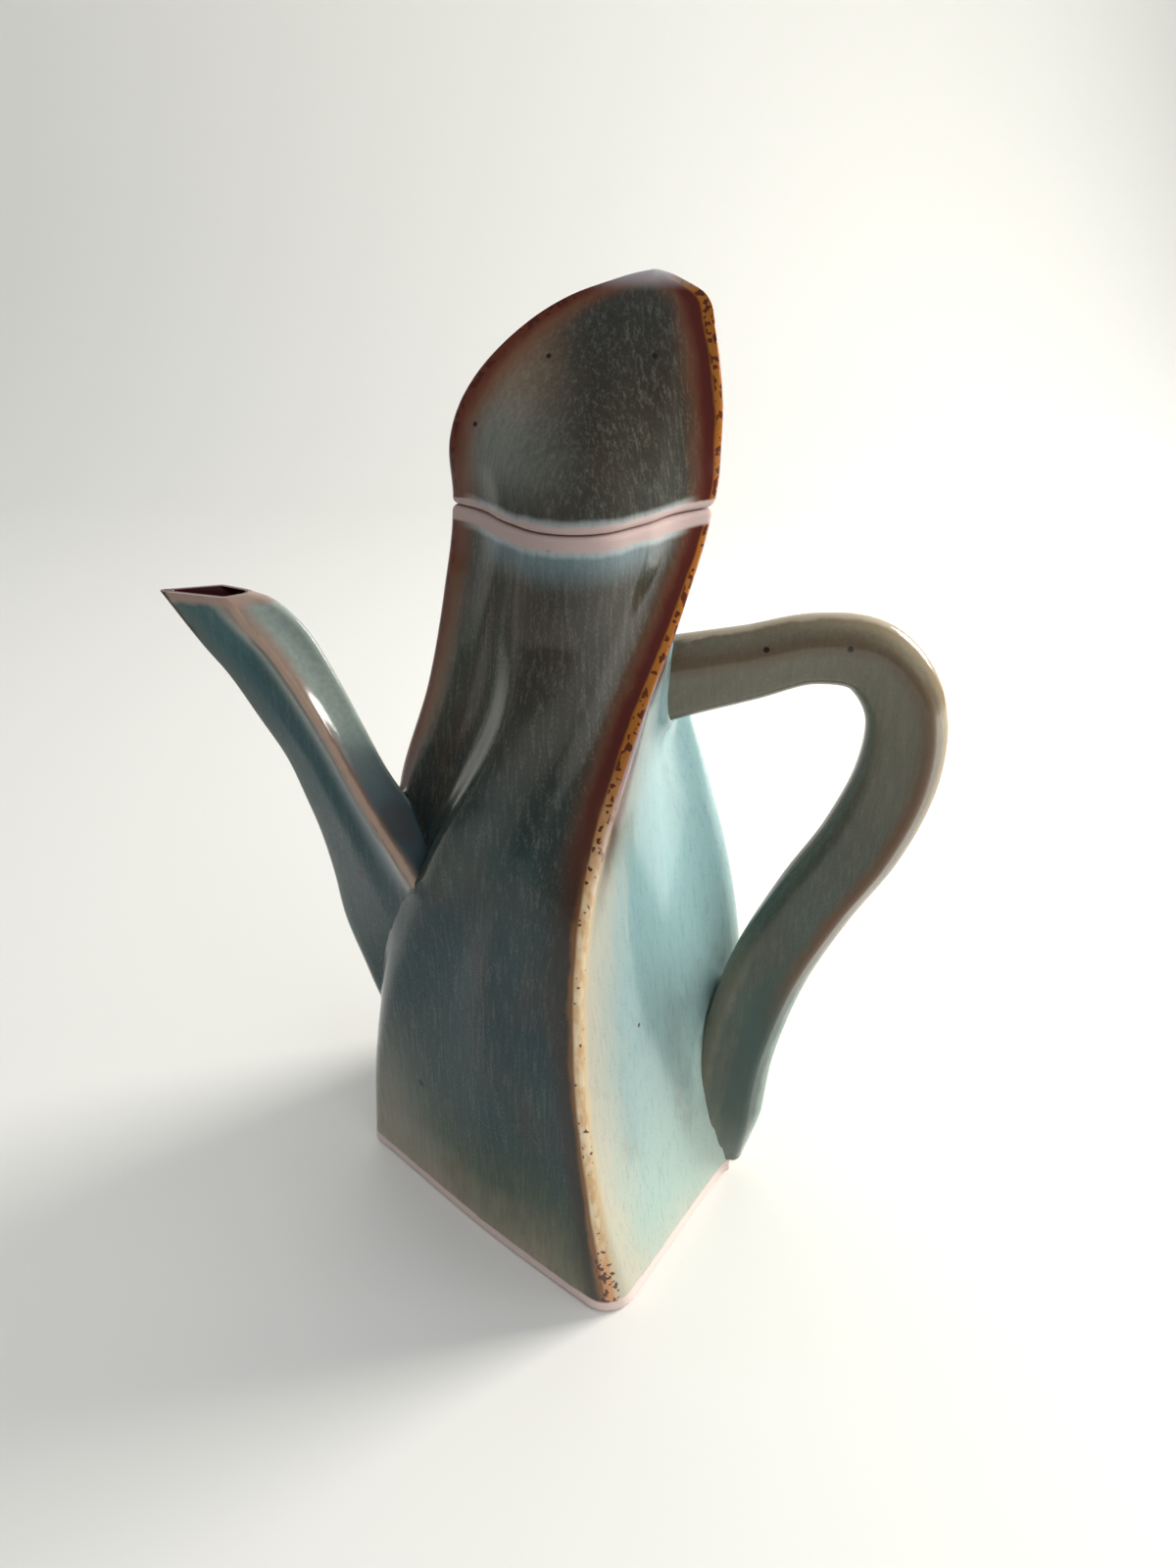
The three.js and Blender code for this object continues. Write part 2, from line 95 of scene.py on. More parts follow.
# Rows of points up the pot and the lid, round their edges, and along the spout and the handle. From
# section SPOUT_CLEAR on, the spout is clear of the wall.
WALL_LEVELS = 150
LID_LEVELS = 64
EDGE_STEPS = 6
TIP_STEPS = 7
SKIN_RINGS = 110
SPOUT_RINGS = 130
SPOUT_CLEAR = 8
HANDLE_RINGS = 170

# Ridges, soft corners and what is pressed into the faces
RIDGE_RADIUS = 2.8
FOOT_RADIUS = 9
SOFT_RADIUS = 9
NECK_SOFT_RADIUS = 16
FOOT_SOFT_RADIUS = 3
TIP_SOFT_RADIUS = 1
LEAST_RADIUS = 0.5
HOLLOW_DEPTH = 6
CREASE_DEPTH = 2.5
PINCH_DEPTH = 1.4
FOOT_BOW = 1.8

# How broad the fillets are, the heights between which they change, and how far out the spout's flank is
SPOUT_CREASE = 2.5
SPOUT_FLANK = 4.5
LEAST_REACH = 0.3
KEEL_FOOT = (48, 70)
FLANK_TOP = (114, 96)
FLANK_OUT = (1, 11)
STRAP_CREASE = 2.5
STRAP_ROOT = 9.0
STRAP_UP = (118, 145)

# How a fillet is found: how near the limb, and in reaches how far outside and inside it, its least
# breadth, tries, longest step, pull under the limb, and how unlike the two skins have to face for it
# to show, and for it to have all its breadth
NEAR = 20
OUTSIDE = 1.1
INSIDE = (-1.2, -0.7)
LEAST_FILLET = 0.2
FILLET_TRIES = 10
LONGEST_STEP = 1.5
PULL = 0.35
UNLIKE = (0.02, 0.12)
UNLIKE_FULL = (0, 0.35)

# Spout and handle
SPOUT_REACH = 108.8
SPOUT_GROOVE = 1.6
MOUTH_WIDTH = 10.4
SPOUT_WIDTH = 56
SPOUT_EDGE_RADIUS = 2.6
KEEL_RADIUS = 5
KEEL_TIP_RADIUS = 1
HANDLE_REACH = 82.4
HANDLE_HEIGHT = 178.5
HANDLE_SWAY = 10.5
HANDLE_DEPTH = 15
HANDLE_ROOT_WIDTH = 25
HANDLE_TOP_WIDTH = 19
HANDLE_BEND_WIDTH = 24.5
HANDLE_FOOT_WIDTH = 24
HANDLE_TIP_WIDTH = 9

# In millimetres, what counts as far from any ridge and as one place; in degrees, as a sharp edge
FAR = 60
SAME_PLACE = 0.002
SHARP_ANGLE = 50


def through(places, values, at):
    """Smooth curve through values at rising places: a cubic on each span, whose slope at a place is
    that of the chord between its two neighbours. Flat beyond the ends."""
    places = np.asarray(places, float)
    values = np.asarray(values, float)
    at = np.clip(at, places[0], places[-1])
    ahead = np.minimum(np.arange(len(places)) + 1, len(places) - 1)
    behind = np.maximum(np.arange(len(places)) - 1, 0)
    slopes = (values[ahead] - values[behind]) / (places[ahead] - places[behind])
    k = np.clip(np.searchsorted(places, at, side="right") - 1, 0, len(places) - 2)
    span = places[k + 1] - places[k]
    rise = values[k + 1] - values[k]
    t = (at - places[k]) / span
    a = slopes[k] * span - rise
    b = rise - slopes[k + 1] * span
    return values[k] + t * rise + t * (1 - t) * (a * (1 - t) + b * t)


def mix(a, b, t):
    """a at t = 0, b at t = 1, and a straight line between."""
    return a + (b - a) * t


def smooth_step(start, end, at):
    """0 before start, 1 after end, and 3tt - 2ttt between."""
    t = np.clip((at - start) / (end - start), 0, 1)
    return t * t * (3 - 2 * t)


def unit(vectors):
    """Vectors along the last axis, made one long."""
    return vectors / np.maximum(np.linalg.norm(vectors, axis=-1, keepdims=True), 1e-9)


def inset_polygon(corners, inset):
    """Moves each side of every polygon inwards by inset: each corner slides along its two sides by
    inset over the sine of its turn. corners is rings by corners by 2."""
    d1 = unit(corners - np.roll(corners, 1, axis=1))
    d2 = unit(np.roll(corners, -1, axis=1) - corners)
    turn = np.maximum(d1[..., 0] * d2[..., 1] - d1[..., 1] * d2[..., 0], 0.05)
    along = (np.asarray(inset, float)[:, None] / turn)[..., None]
    return corners + (d2 - d1) * along


def outline(corners, radii, corner_steps, side_steps, pressed=()):
    """Rings of points round polygons with rounded corners. A corner is the conic that a circle of its
    radius would be: weights (1-t)(1-t), 2wt(1-t) and tt, with w the cosine of half the turn. A hollow
    pressed into a side moves its points inwards by depth times (1 - ((share - at) / spread) squared)
    squared, and fades round the corners at its ends. corners is rings by corners by 2, and the result
    is rings by points by 2."""
    count = corners.shape[1]
    ahead = np.roll(corners, -1, axis=1)
    lengths = np.linalg.norm(ahead - corners, axis=-1)
    d2 = unit(ahead - corners)
    d1 = np.roll(d2, 1, axis=1)
    half_turn = np.arccos(np.clip((d1 * d2).sum(-1), -1, 1)) / 2
    room = 0.45 * np.minimum(lengths, np.roll(lengths, 1, axis=1))
    reach = np.minimum(radii * np.tan(half_turn), room)[..., None]
    start = corners - d1 * reach
    end = corners + d2 * reach
    weight = np.cos(half_turn)[..., None, None]

    def press(points, i):
        """How far the hollows of side i move the points."""
        along = d2[:, i]
        inward = np.stack([-along[:, 1], along[:, 0]], -1)
        share = ((points - corners[:, i, None]) * along[:, None]).sum(-1) / lengths[:, i, None]
        total = np.zeros_like(share)
        for depth, at, spread in (pressed[i] if pressed else ()):
            total = total + depth[:, None] * np.maximum(0, 1 - ((share - at) / spread) ** 2) ** 2
        return total[..., None] * inward[:, None]

    t = np.linspace(0, 1, corner_steps)[None, :, None]
    s = (np.arange(1, side_steps) / side_steps)[None, :, None]
    past = smooth_step(0, 1, t)
    pieces = []
    for i in range(count):
        w = [(1 - t) ** 2, 2 * weight[:, i] * t * (1 - t), t ** 2]
        arc = w[0] * start[:, i, None] + w[1] * corners[:, i, None] + w[2] * end[:, i, None]
        arc = arc / (w[0] + w[1] + w[2])
        pieces.append(arc + past * press(arc, i) + (1 - past) * press(arc, (i - 1) % count))
        side = mix(end[:, i, None], start[:, (i + 1) % count, None], s)
        pieces.append(side + press(side, i))
    return np.concatenate(pieces, axis=1)


# The tower's four edges, as where they stand in X and Y at stations up the tower: shares of
# NECK_HEIGHT up to 1, then 1 plus shares of LID_HEIGHT.
STATIONS = [0, 0.2, 0.4, 0.6, 0.78, 0.9, 1, 1.3, 1.56, 1.76, 1.9, 2]


def shares(size, values):
    """The values, each times a size."""
    return [size * value for value in values]


EDGES = {
    "front": (
        [FRONT_OFFSET]
        + shares(NECK_HALF_WIDTH, [0.17, 0.04, 0.1, 0.47, 0.81, 1.03, 1.1, 1.11, 1.05, 0.93])
        + [TIP_LEAN + TIP_HALF_WIDTH],
        shares(FRONT_REACH, [-1, -0.917, -0.827, -0.66, -0.39, -0.18, -0.015, 0.03, 0.045, 0.06, 0.06])
        + [TIP_BACK],
    ),
    "right": (
        shares(RIGHT_REACH, [1, 0.987, 1.036, 0.933, 0.63, 0.305, 0.04, 0.076, 0.15, 0.23, 0.29])
        + [TIP_LEAN],
        shares(NECK_HALF_DEPTH, [0, 0.06, 0.22, 0.375, 0.625, 0.875, 1, 0.84, 0.625, 0.41, 0.28])
        + [TIP_BACK + TIP_HALF_DEPTH],
    ),
    "back": (
        [RIGHT_REACH - LEFT_REACH - FRONT_OFFSET]
        + shares(NECK_HALF_WIDTH, [-1.41, -1.7, -1.73, -1.35, -1.15, -1.03, -1.045, -0.9, -0.56, -0.12])
        + [TIP_LEAN - TIP_HALF_WIDTH],
        shares(FRONT_REACH, [1, 0.75, 0.51, 0.18, 0.06, 0.03, 0.015, 0.015, 0.03, 0.045, 0.045])
        + [TIP_BACK],
    ),
    "left": (
        shares(LEFT_REACH, [-1, -0.952, -0.824, -0.568, -0.256, -0.128, -0.03, -0.03, 0.03, 0.085, 0.142])
        + [TIP_LEAN],
        shares(NECK_HALF_DEPTH, [0, -0.125, -0.44, -0.906, -1.09, -1.09, -1.09, -0.78, -0.375, -0.125, 0])
        + [TIP_BACK - TIP_HALF_DEPTH],
    ),
}
RIDGE = [FOOT_RADIUS] + shares(RIDGE_RADIUS, [1.4, 1, 1, 1, 1, 1, 1, 0.9, 0.5, 0.2]) + [LEAST_RADIUS]
UP_SOFT = [NECK_SOFT_RADIUS] * 5 + [TIP_SOFT_RADIUS]
LEFT_SOFT = [FOOT_SOFT_RADIUS] + shares(SOFT_RADIUS, [1, 2, 3, 3, 2]) + UP_SOFT
RIGHT_SOFT = [FOOT_SOFT_RADIUS] + shares(SOFT_RADIUS, [0.8, 1, 1, 1, 1.4]) + UP_SOFT
HOLLOWS = shares(HOLLOW_DEPTH, [0, 0.45, 1, 1, 0.9, 0.4, 0, 0, 0, 0, 0, 0])
CREASES = shares(CREASE_DEPTH, [0, 0.2, 1, 1, 0.3, 0, 0, 0, 0, 0, 0, 0])
PINCHES = shares(PINCH_DEPTH, [0, 0.5, 0.6, 0.8, 1, 1, 1, 1, 1, 0.8, 0.4, 0])
BOWS = shares(-FOOT_BOW, [1, 0.5, 0.1, 0, 0, 0, 0, 0, 0, 0, 0, 0])

CORNER_STEPS = 11
SIDE_STEPS = 28
RING_POINTS = 4 * (CORNER_STEPS + SIDE_STEPS - 1)
RIDGE_MIDDLE = (CORNER_STEPS - 1) // 2


def station_at(heights):
    """Heights in millimetres as stations."""
    return np.where(heights <= NECK_HEIGHT, heights / NECK_HEIGHT,
                    1 + (heights - NECK_HEIGHT) / LID_HEIGHT)


def tower_rings(heights, insets):
    """The tower's outline at each height, drawn in by each inset: rings by points by 3. The points run
    anticlockwise from the front ridge."""
    heights = np.asarray(heights, float)
    insets = np.broadcast_to(np.asarray(insets, float), heights.shape)
    station = station_at(heights)
    corners = np.stack([np.stack([through(STATIONS, axis, station) for axis in EDGES[edge]], -1)
                        for edge in ("front", "right", "back", "left")], axis=1)
    radii = np.stack([np.maximum(through(STATIONS, table, station) - insets, LEAST_RADIUS)
                      for table in (RIDGE, RIGHT_SOFT, RIDGE, LEFT_SOFT)], axis=1)
    hollow, crease, pinch, bow = (through(STATIONS, table, station)
                                  for table in (HOLLOWS, CREASES, PINCHES, BOWS))
    # Each is how deep, where along the side and how far to both sides of there, as shares of it
    after_ridge = [(hollow, 0.62, 0.42), (pinch, 0.24, 0.24)]
    before_ridge = [(crease, 0.3, 0.3), (pinch, 0.76, 0.24), (bow, 0.55, 0.55)]
    flat = outline(inset_polygon(corners, insets), radii, CORNER_STEPS, SIDE_STEPS,
                   [after_ridge, before_ridge, after_ridge, before_ridge])
    up = np.broadcast_to(heights[:, None, None], flat.shape[:2] + (1,))
    return np.concatenate([flat, up], axis=-1)


def half_of(rings, on_spout_side):
    """The half of each ring between the two ridges, anticlockwise, ends included."""
    half = RING_POINTS // 2
    start = RIDGE_MIDDLE + (half if on_spout_side else 0)
    return np.roll(rings, -start, axis=1)[:, :half + 1]


def ring_normals(rings):
    """Outward directions on closed rings: the way round crossed with the way along."""
    around = np.roll(rings, -1, axis=1) - np.roll(rings, 1, axis=1)
    along = np.gradient(rings, axis=0)
    return unit(np.cross(around, along))


class Skin:
    """A surface as rings of points, for finding how far outside it a place lies: the step from the
    nearest of its points, measured along the way that point faces."""

    def __init__(self, rings):
        self.points = rings.reshape(-1, 3).astype(np.float32)
        self.normals = ring_normals(rings).reshape(-1, 3)

    def away(self, places):
        """Millimetres outside, and the way the skin faces there."""
        squares = (self.points ** 2).sum(-1)
        parts = np.array_split(places.astype(np.float32), len(places) // 400 + 1)
        nearest = np.concatenate([np.argmin(squares - 2 * part @ self.points.T, axis=1)
                                  for part in parts])
        normals = self.normals[nearest]
        return ((places - self.points[nearest]) * normals).sum(-1), normals


def melt(rings, wall, limb, reach_at):
    """Raises a wall on to what is luted to it, in a fillet that ends flush on the limb. With a and b
    the distances outside wall and limb, k the reach at the place and h half of 1 + (b - a) / k, held
    between 0 and 1, the fillet is where a h + b (1 - h) - k h (1 - h) is 0. Past its end a point
    sinks under the limb by PULL times the rest of a - b. Nothing moves where both skins face the
    same way."""
    flat = rings.reshape(-1, 3)
    chosen = np.flatnonzero(((flat > limb.points.min(axis=0) - NEAR)
                             & (flat < limb.points.max(axis=0) + NEAR)).all(-1))
    gap, way_b = limb.away(flat[chosen])
    _, way_a = wall.away(flat[chosen])
    reach = reach_at(flat[chosen])
    apart = 1 - (way_a * way_b).sum(-1)
    near = (gap < OUTSIDE * reach) & (gap > INSIDE[0] * reach) & (apart > UNLIKE[0])
    chosen, gap, reach, apart = chosen[near], gap[near], reach[near], apart[near]
    points = flat[chosen].copy()
    for _ in range(FILLET_TRIES):
        a, way_a = wall.away(points)
        b, way_b = limb.away(points)
        unlike = smooth_step(*UNLIKE_FULL, 1 - (way_a * way_b).sum(-1))
        k = np.maximum(reach_at(points) * unlike, LEAST_FILLET)
        h = np.clip(0.5 + 0.5 * (b - a) / k, 0, 1)
        rest = a - b - 0.9 * k
        past = (rest > 0) * PULL
        value = b * (1 - h) + a * h - k * h * (1 - h) + past * rest
        way = (h + past)[:, None] * way_a + (1 - h - past)[:, None] * way_b
        step = value / np.maximum((way ** 2).sum(-1), 0.15)
        points -= np.clip(step, -LONGEST_STEP, LONGEST_STEP)[:, None] * way
    share = smooth_step(INSIDE[0] * reach, INSIDE[1] * reach, gap) * smooth_step(*UNLIKE, apart)
    result = flat.copy()
    result[chosen] = mix(flat[chosen], points, share[:, None])
    return result.reshape(rings.shape)


def grid_faces(rows, columns, closed_rows=False, closed_columns=False):
    """Quads of a grid of points numbered row by row, facing out where rows rise and columns run
    anticlockwise."""
    r, c = np.meshgrid(np.arange(rows - (not closed_rows)), np.arange(columns - (not closed_columns)),
                       indexing="ij")
    next_r, next_c = (r + 1) % rows, (c + 1) % columns
    return np.stack([r * columns + c, r * columns + next_c, next_r * columns + next_c,
                     next_r * columns + c], -1).reshape(-1, 4)


def end_faces(levels, columns, last):
    """Quads that close one end of a bent slab, between its outer and inner points."""
    i = np.arange(levels - 1)
    column = columns - 1 if last else 0
    outer, outer_up = i * columns + column, (i + 1) * columns + column
    inner, inner_up = [(2 * levels - 1 - k) * columns + column for k in (i, i + 1)]
    order = [inner, inner_up, outer_up, outer] if last else [outer, outer_up, inner_up, inner]
    return np.stack(order, -1)


def make_piece(name, points, faces, values, material, body, node):
    """A glazed piece in a CAD node's place: a mesh from points in millimetres and quads, with values
    per point as attributes. Points that coincide are merged, which closes tips and poles."""
    mesh = bpy.data.meshes.new(name)
    mesh.from_pydata((points.reshape(-1, 3) * MM).tolist(), [], faces.tolist())
    for key, table in values.items():
        attribute = mesh.attributes.new(key, "FLOAT", "POINT")
        attribute.data.foreach_set("value", np.ascontiguousarray(table, np.float32).ravel())
    work = bmesh.new()
    work.from_mesh(mesh)
    bmesh.ops.remove_doubles(work, verts=work.verts, dist=SAME_PLACE * MM)
    work.to_mesh(mesh)
    work.free()
    mesh.polygons.foreach_set("use_smooth", [True] * len(mesh.polygons))
    mesh.set_sharp_from_angle(angle=math.radians(SHARP_ANGLE))
    mesh.materials.append(material)
    piece = bpy.data.objects.new(name, mesh)
    bpy.context.scene.collection.objects.link(piece)
    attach(piece, body)
    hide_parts(node)


def round_edge(radius, steps):
    """A quarter circle from an upright wall to a flat top: how far in, and how far below the top."""
    a = np.linspace(0, math.pi / 2, steps)
    return radius * (1 - np.cos(a)), radius * (1 - np.sin(a))


def run_lengths(rings):
    """Distance along each ring from its first point."""
    steps = np.linalg.norm(np.diff(rings, axis=1), axis=-1)
    return np.concatenate([np.zeros((len(rings), 1)), np.cumsum(steps, axis=1)], axis=1)


def distances_from(rings, columns):
    """Distance round each closed ring, the shorter way, from its point in each of the columns."""
    run = run_lengths(np.concatenate([rings, rings[:, :1]], axis=1))
    total, run = run[:, -1:], run[:, :-1]
    away = [np.abs(run - run[:, column, None]) for column in columns]
    return [np.minimum(one, total - one) for one in away]


def slab(name, on_spout_side, heights, insets, inner, material, body, node, luted=None):
    """One of the two bent slabs of the pot or of the lid: outer rings up, inner rings down, and both
    ends closed. Its attributes are the distances to the front and back ridges and whether a point is
    inside. luted is for a slab with a limb on it: the skins of the pot and of the limb, and how broad
    a fillet joins them at a place."""
    outer = half_of(tower_rings(heights, insets), on_spout_side)
    inner = half_of(inner, on_spout_side)
    levels, columns = outer.shape[:2]
    from_start = run_lengths(outer)
    if luted:
        outer = melt(outer, *luted)
    from_end = from_start[:, -1:] - from_start
    front, back = (from_end, from_start) if on_spout_side else (from_start, from_end)
    far = np.full_like(front, FAR)
    values = {
        "front_ridge": np.concatenate([front, far]),
        "back_ridge": np.concatenate([back, far]),
        "inside": np.concatenate([np.zeros_like(far), np.ones_like(far)]),
    }
    points = np.concatenate([outer, inner[::-1]])
    faces = np.concatenate([grid_faces(2 * levels, columns, closed_rows=True),
                            end_faces(levels, columns, False), end_faces(levels, columns, True)])
    make_piece(name, points, faces, values, material, body, node)


def wall_profile():
    """Heights and insets of the pot's outer rings: a rounded foot, the wall and a rounded rim."""
    foot_in, foot_up = round_edge(FOOT_ROUND, EDGE_STEPS)
    rim_in, rim_down = round_edge(RIM_ROUND, EDGE_STEPS)
    middle = np.linspace(FOOT_ROUND, RIM - RIM_ROUND, WALL_LEVELS)[1:-1]
    heights = np.concatenate([foot_up[::-1], middle, RIM - rim_down])
    insets = np.concatenate([foot_in[::-1], np.zeros_like(middle), rim_in])
    return heights, insets


def lid_profile():
    """Heights and insets of the lid's outer rings: a rounded foot, the wall and a rounded tip."""
    foot_in, foot_up = round_edge(RIM_ROUND, EDGE_STEPS)
    tip_in, tip_down = round_edge(TIP_ROUND, TIP_STEPS)
    middle = np.linspace(LID_FOOT + RIM_ROUND, LID_TOP - TIP_ROUND, LID_LEVELS)[1:-1]
    heights = np.concatenate([LID_FOOT + foot_up[::-1], middle, LID_TOP - tip_down])
    insets = np.concatenate([foot_in[::-1], np.zeros_like(middle), tip_in])
    return heights, insets


def make_walls(front_glaze, back_glaze):
    """The pot's two slabs. The inner rings stand WALL further in."""
    heights, insets = wall_profile()
    inner = tower_rings(heights, WALL)
    tower = Skin(tower_rings(np.linspace(0, NECK_HEIGHT, SKIN_RINGS), 0))
    spout = Skin(spout_rings(np.linspace(0, SPOUT_CLEAR, SPOUT_RINGS), np.zeros(SPOUT_RINGS)))
    strap = Skin(handle_rings(HANDLE_RINGS))
    slab("front_wall_glazed", True, heights, insets, inner, front_glaze, "pot", "front_wall",
         (tower, spout, spout_reach))
    slab("back_wall_glazed", False, heights, insets, inner, back_glaze, "pot", "back_wall",
         (tower, strap, handle_reach))


def make_lid(front_glaze, back_glaze):
    """The lid's two slabs. The inner rings stop at the crown and close on its middle."""
    heights, insets = lid_profile()
    crown = LID_TOP - LID_CROWN
    hollow = tower_rings(np.minimum(heights, crown), WALL)
    middle = hollow.mean(axis=1, keepdims=True)
    closing = smooth_step(crown, crown + LID_CLOSING, heights)[:, None, None]
    inner = mix(hollow, middle, closing)
    slab("lid_front_glazed", True, heights, insets, inner, front_glaze, "lid", "lid_front")
    slab("lid_back_glazed", False, heights, insets, inner, back_glaze, "lid", "lid_back")


# The spout's sections from its root, inside the pot, to its mouth, by column: keel out and up, top
# out and up, as shares of SPOUT_REACH and MOUTH_HEIGHT; then for the front and the back side ridge,
# how far along from keel to top it stands and how far the width has gone to SPOUT_WIDTH.
SPOUT_SECTIONS = np.array([
    [0.542, 0.179, 0.165, 0.294, 0.95, 0.5, 0.8, 0.5],
    [0.612, 0.284, 0.211, 0.394, 0.95, 0.6, 0.8, 0.6],
    [0.643, 0.389, 0.257, 0.489, 0.95, 0.8, 0.8, 0.7],
    [0.669, 0.478, 0.312, 0.573, 0.95, 0.95, 0.78, 0.66],
    [0.68, 0.559, 0.377, 0.636, 0.95, 0.91, 0.76, 0.4],
    [0.697, 0.626, 0.441, 0.689, 0.92, 0.69, 0.74, 0.28],
    [0.722, 0.687, 0.489, 0.741, 0.87, 0.52, 0.72, 0.25],
    [0.755, 0.752, 0.533, 0.807, 0.79, 0.36, 0.7, 0.25],
    [0.812, 0.814, 0.577, 0.876, 0.73, 0.23, 0.68, 0.2],
    [0.868, 0.873, 0.629, 0.95, 0.66, 0.12, 0.64, 0.12],
    [0.925, 0.922, 0.686, 0.993, 0.64, 0.05, 0.62, 0.05],
    [1, 1, 0.739, 1, 0.72, 0, 0.6, 0],
])
SPOUT_CORNER_STEPS = 9
SPOUT_SIDE_STEPS = 18
SPOUT_STRIDE = SPOUT_CORNER_STEPS + SPOUT_SIDE_STEPS - 1


def spout_rings(places, insets):
    """Rings of the spout at places along its sections: kites with rounded corners, keel first, whose
    sides are drawn in a little beside the two side ridges."""
    places = np.asarray(places, float)
    last = len(SPOUT_SECTIONS) - 1
    keel_out, keel_up, top_out, top_up, front, front_wide, back, back_wide = (
        through(np.arange(last + 1), column, places) for column in SPOUT_SECTIONS.T)
    keel = np.stack([-SPOUT_REACH * keel_out, MOUTH_HEIGHT * keel_up], -1)
    top = np.stack([-SPOUT_REACH * top_out, MOUTH_HEIGHT * top_up], -1)
    length = np.linalg.norm(top - keel, axis=-1)
    across = (top - keel) / length[:, None]
    front_half = mix(MOUTH_WIDTH, SPOUT_WIDTH, front_wide) / 2
    back_half = mix(MOUTH_WIDTH, SPOUT_WIDTH, back_wide) / 2
    zero = np.zeros_like(length)
    corners = np.stack([np.stack([zero, zero], -1), np.stack([length * front, -front_half], -1),
                        np.stack([length, zero], -1), np.stack([length * back, back_half], -1)], axis=1)
    keel_radius = mix(KEEL_RADIUS, KEEL_TIP_RADIUS, places / last)
    radii = np.stack([keel_radius] + 3 * [np.full_like(length, SPOUT_EDGE_RADIUS)], axis=1)
    radii = np.maximum(radii - insets[:, None], LEAST_RADIUS)
    groove = SPOUT_GROOVE * smooth_step(2, 5, places) * smooth_step(last, last - 2, places)
    pressed = [[(groove, 0.74, 0.26)], [(0.8 * groove, 0.5, 0.5)], [(0.4 * groove, 0.5, 0.5)],
               [(0.6 * groove, 0.3, 0.3)]]
    flat = outline(inset_polygon(corners, insets), radii, SPOUT_CORNER_STEPS, SPOUT_SIDE_STEPS, pressed)
    x = keel[:, None, 0] + across[:, None, 0] * flat[..., 0]
    z = keel[:, None, 1] + across[:, None, 1] * flat[..., 0]
    return np.stack([x, flat[..., 1], z], -1)


def over_spout():
    """0 for the points of a spout ring that lie below its two side ridges, 1 for those above."""
    corner = np.arange(4 * SPOUT_STRIDE) / SPOUT_STRIDE
    return 1 - smooth_step(1.0, 0.6, np.minimum(corner, 4 - corner))


def spout_reach(places):
    """How broad a fillet joins the spout to the pot: a tight crease above and along the keel, which
    fades at the keel's foot, and a broader one on the flank below each ridge's foot."""
    flank = smooth_step(*FLANK_OUT, np.abs(places[:, 1])) * smooth_step(*FLANK_TOP, places[:, 2])
    return mix(SPOUT_CREASE, SPOUT_FLANK, flank) * smooth_step(*KEEL_FOOT, places[:, 2]) + LEAST_REACH


def make_spout(material):
    """The hollow spout, from its root inside the pot to its rounded lip."""
    last = len(SPOUT_SECTIONS) - 1
    lip_in, _ = round_edge(LIP_ROUND, 4)
    places = np.concatenate([np.linspace(0, last, SPOUT_RINGS), np.full(len(lip_in) - 1, last)])
    insets = np.concatenate([np.zeros(SPOUT_RINGS), lip_in[1:]])
    outer = spout_rings(places, insets)
    wall = mix(SPOUT_WALL, LIP_WALL, np.clip(2 * places / last - 1, 0, 1))
    inner = spout_rings(places, wall - insets)
    middles = np.arange(4) * SPOUT_STRIDE + SPOUT_CORNER_STEPS // 2
    keel, front, top, back = distances_from(outer, middles)
    far = np.full_like(keel, FAR)
    values = {
        "spout_ridge": np.concatenate([np.minimum(front, back), far]),
        "top_ridge": np.concatenate([top, far]),
        "keel": np.concatenate([keel, far]),
        "upper": np.concatenate([over_spout() * np.ones_like(keel), np.zeros_like(far)]),
        "inside": np.concatenate([np.zeros_like(far), np.ones_like(far)]),
    }
    points = np.concatenate([outer, inner[::-1]])
    faces = grid_faces(len(points), points.shape[1], closed_rows=True, closed_columns=True)
    make_piece("spout_glazed", points, faces, values, material, "pot", "spout")


# The handle's path: shares of the way from the tower's right edge to HANDLE_REACH, of HANDLE_SWAY and
# of HANDLE_HEIGHT. Its section: shares of its width and depth from the middle.
HANDLE_POINTS = np.array([
    [-0.41, 0.29, 0.936], [-0.08, 0.38, 0.958], [0.26, 0.38, 0.978], [0.575, 0.38, 1],
    [0.823, 0.48, 0.989], [0.992, 0.57, 0.916], [1, 0.67, 0.812], [0.79, 0.76, 0.7],
    [0.39, 0.86, 0.594], [-0.01, 0.95, 0.471], [-0.185, 1, 0.336], [-0.23, 1, 0.213],
    [-0.21, 0.86, 0.112], [-0.16, 0.67, 0.034],
])
HANDLE_WIDTHS = (
    [0, 0.1, 0.2, 0.45, 0.62, 0.8, 0.9, 0.96, 1],
    [HANDLE_ROOT_WIDTH, mix(HANDLE_ROOT_WIDTH, HANDLE_TOP_WIDTH, 0.6), HANDLE_TOP_WIDTH,
     HANDLE_BEND_WIDTH, HANDLE_BEND_WIDTH, HANDLE_FOOT_WIDTH, HANDLE_FOOT_WIDTH,
     mix(HANDLE_TIP_WIDTH, HANDLE_FOOT_WIDTH, 0.5), HANDLE_TIP_WIDTH],
)
HANDLE_SECTION = np.array([[0.22, -0.5], [0.5, -0.05], [0.36, 0.48], [-0.44, 0.4], [-0.5, -0.3]])
HANDLE_RADII = [3.2, 4, 5, 6, 5]
HANDLE_CORNER_STEPS = 9
HANDLE_SIDE_STEPS = 8
HANDLE_STRIDE = HANDLE_CORNER_STEPS + HANDLE_SIDE_STEPS - 1


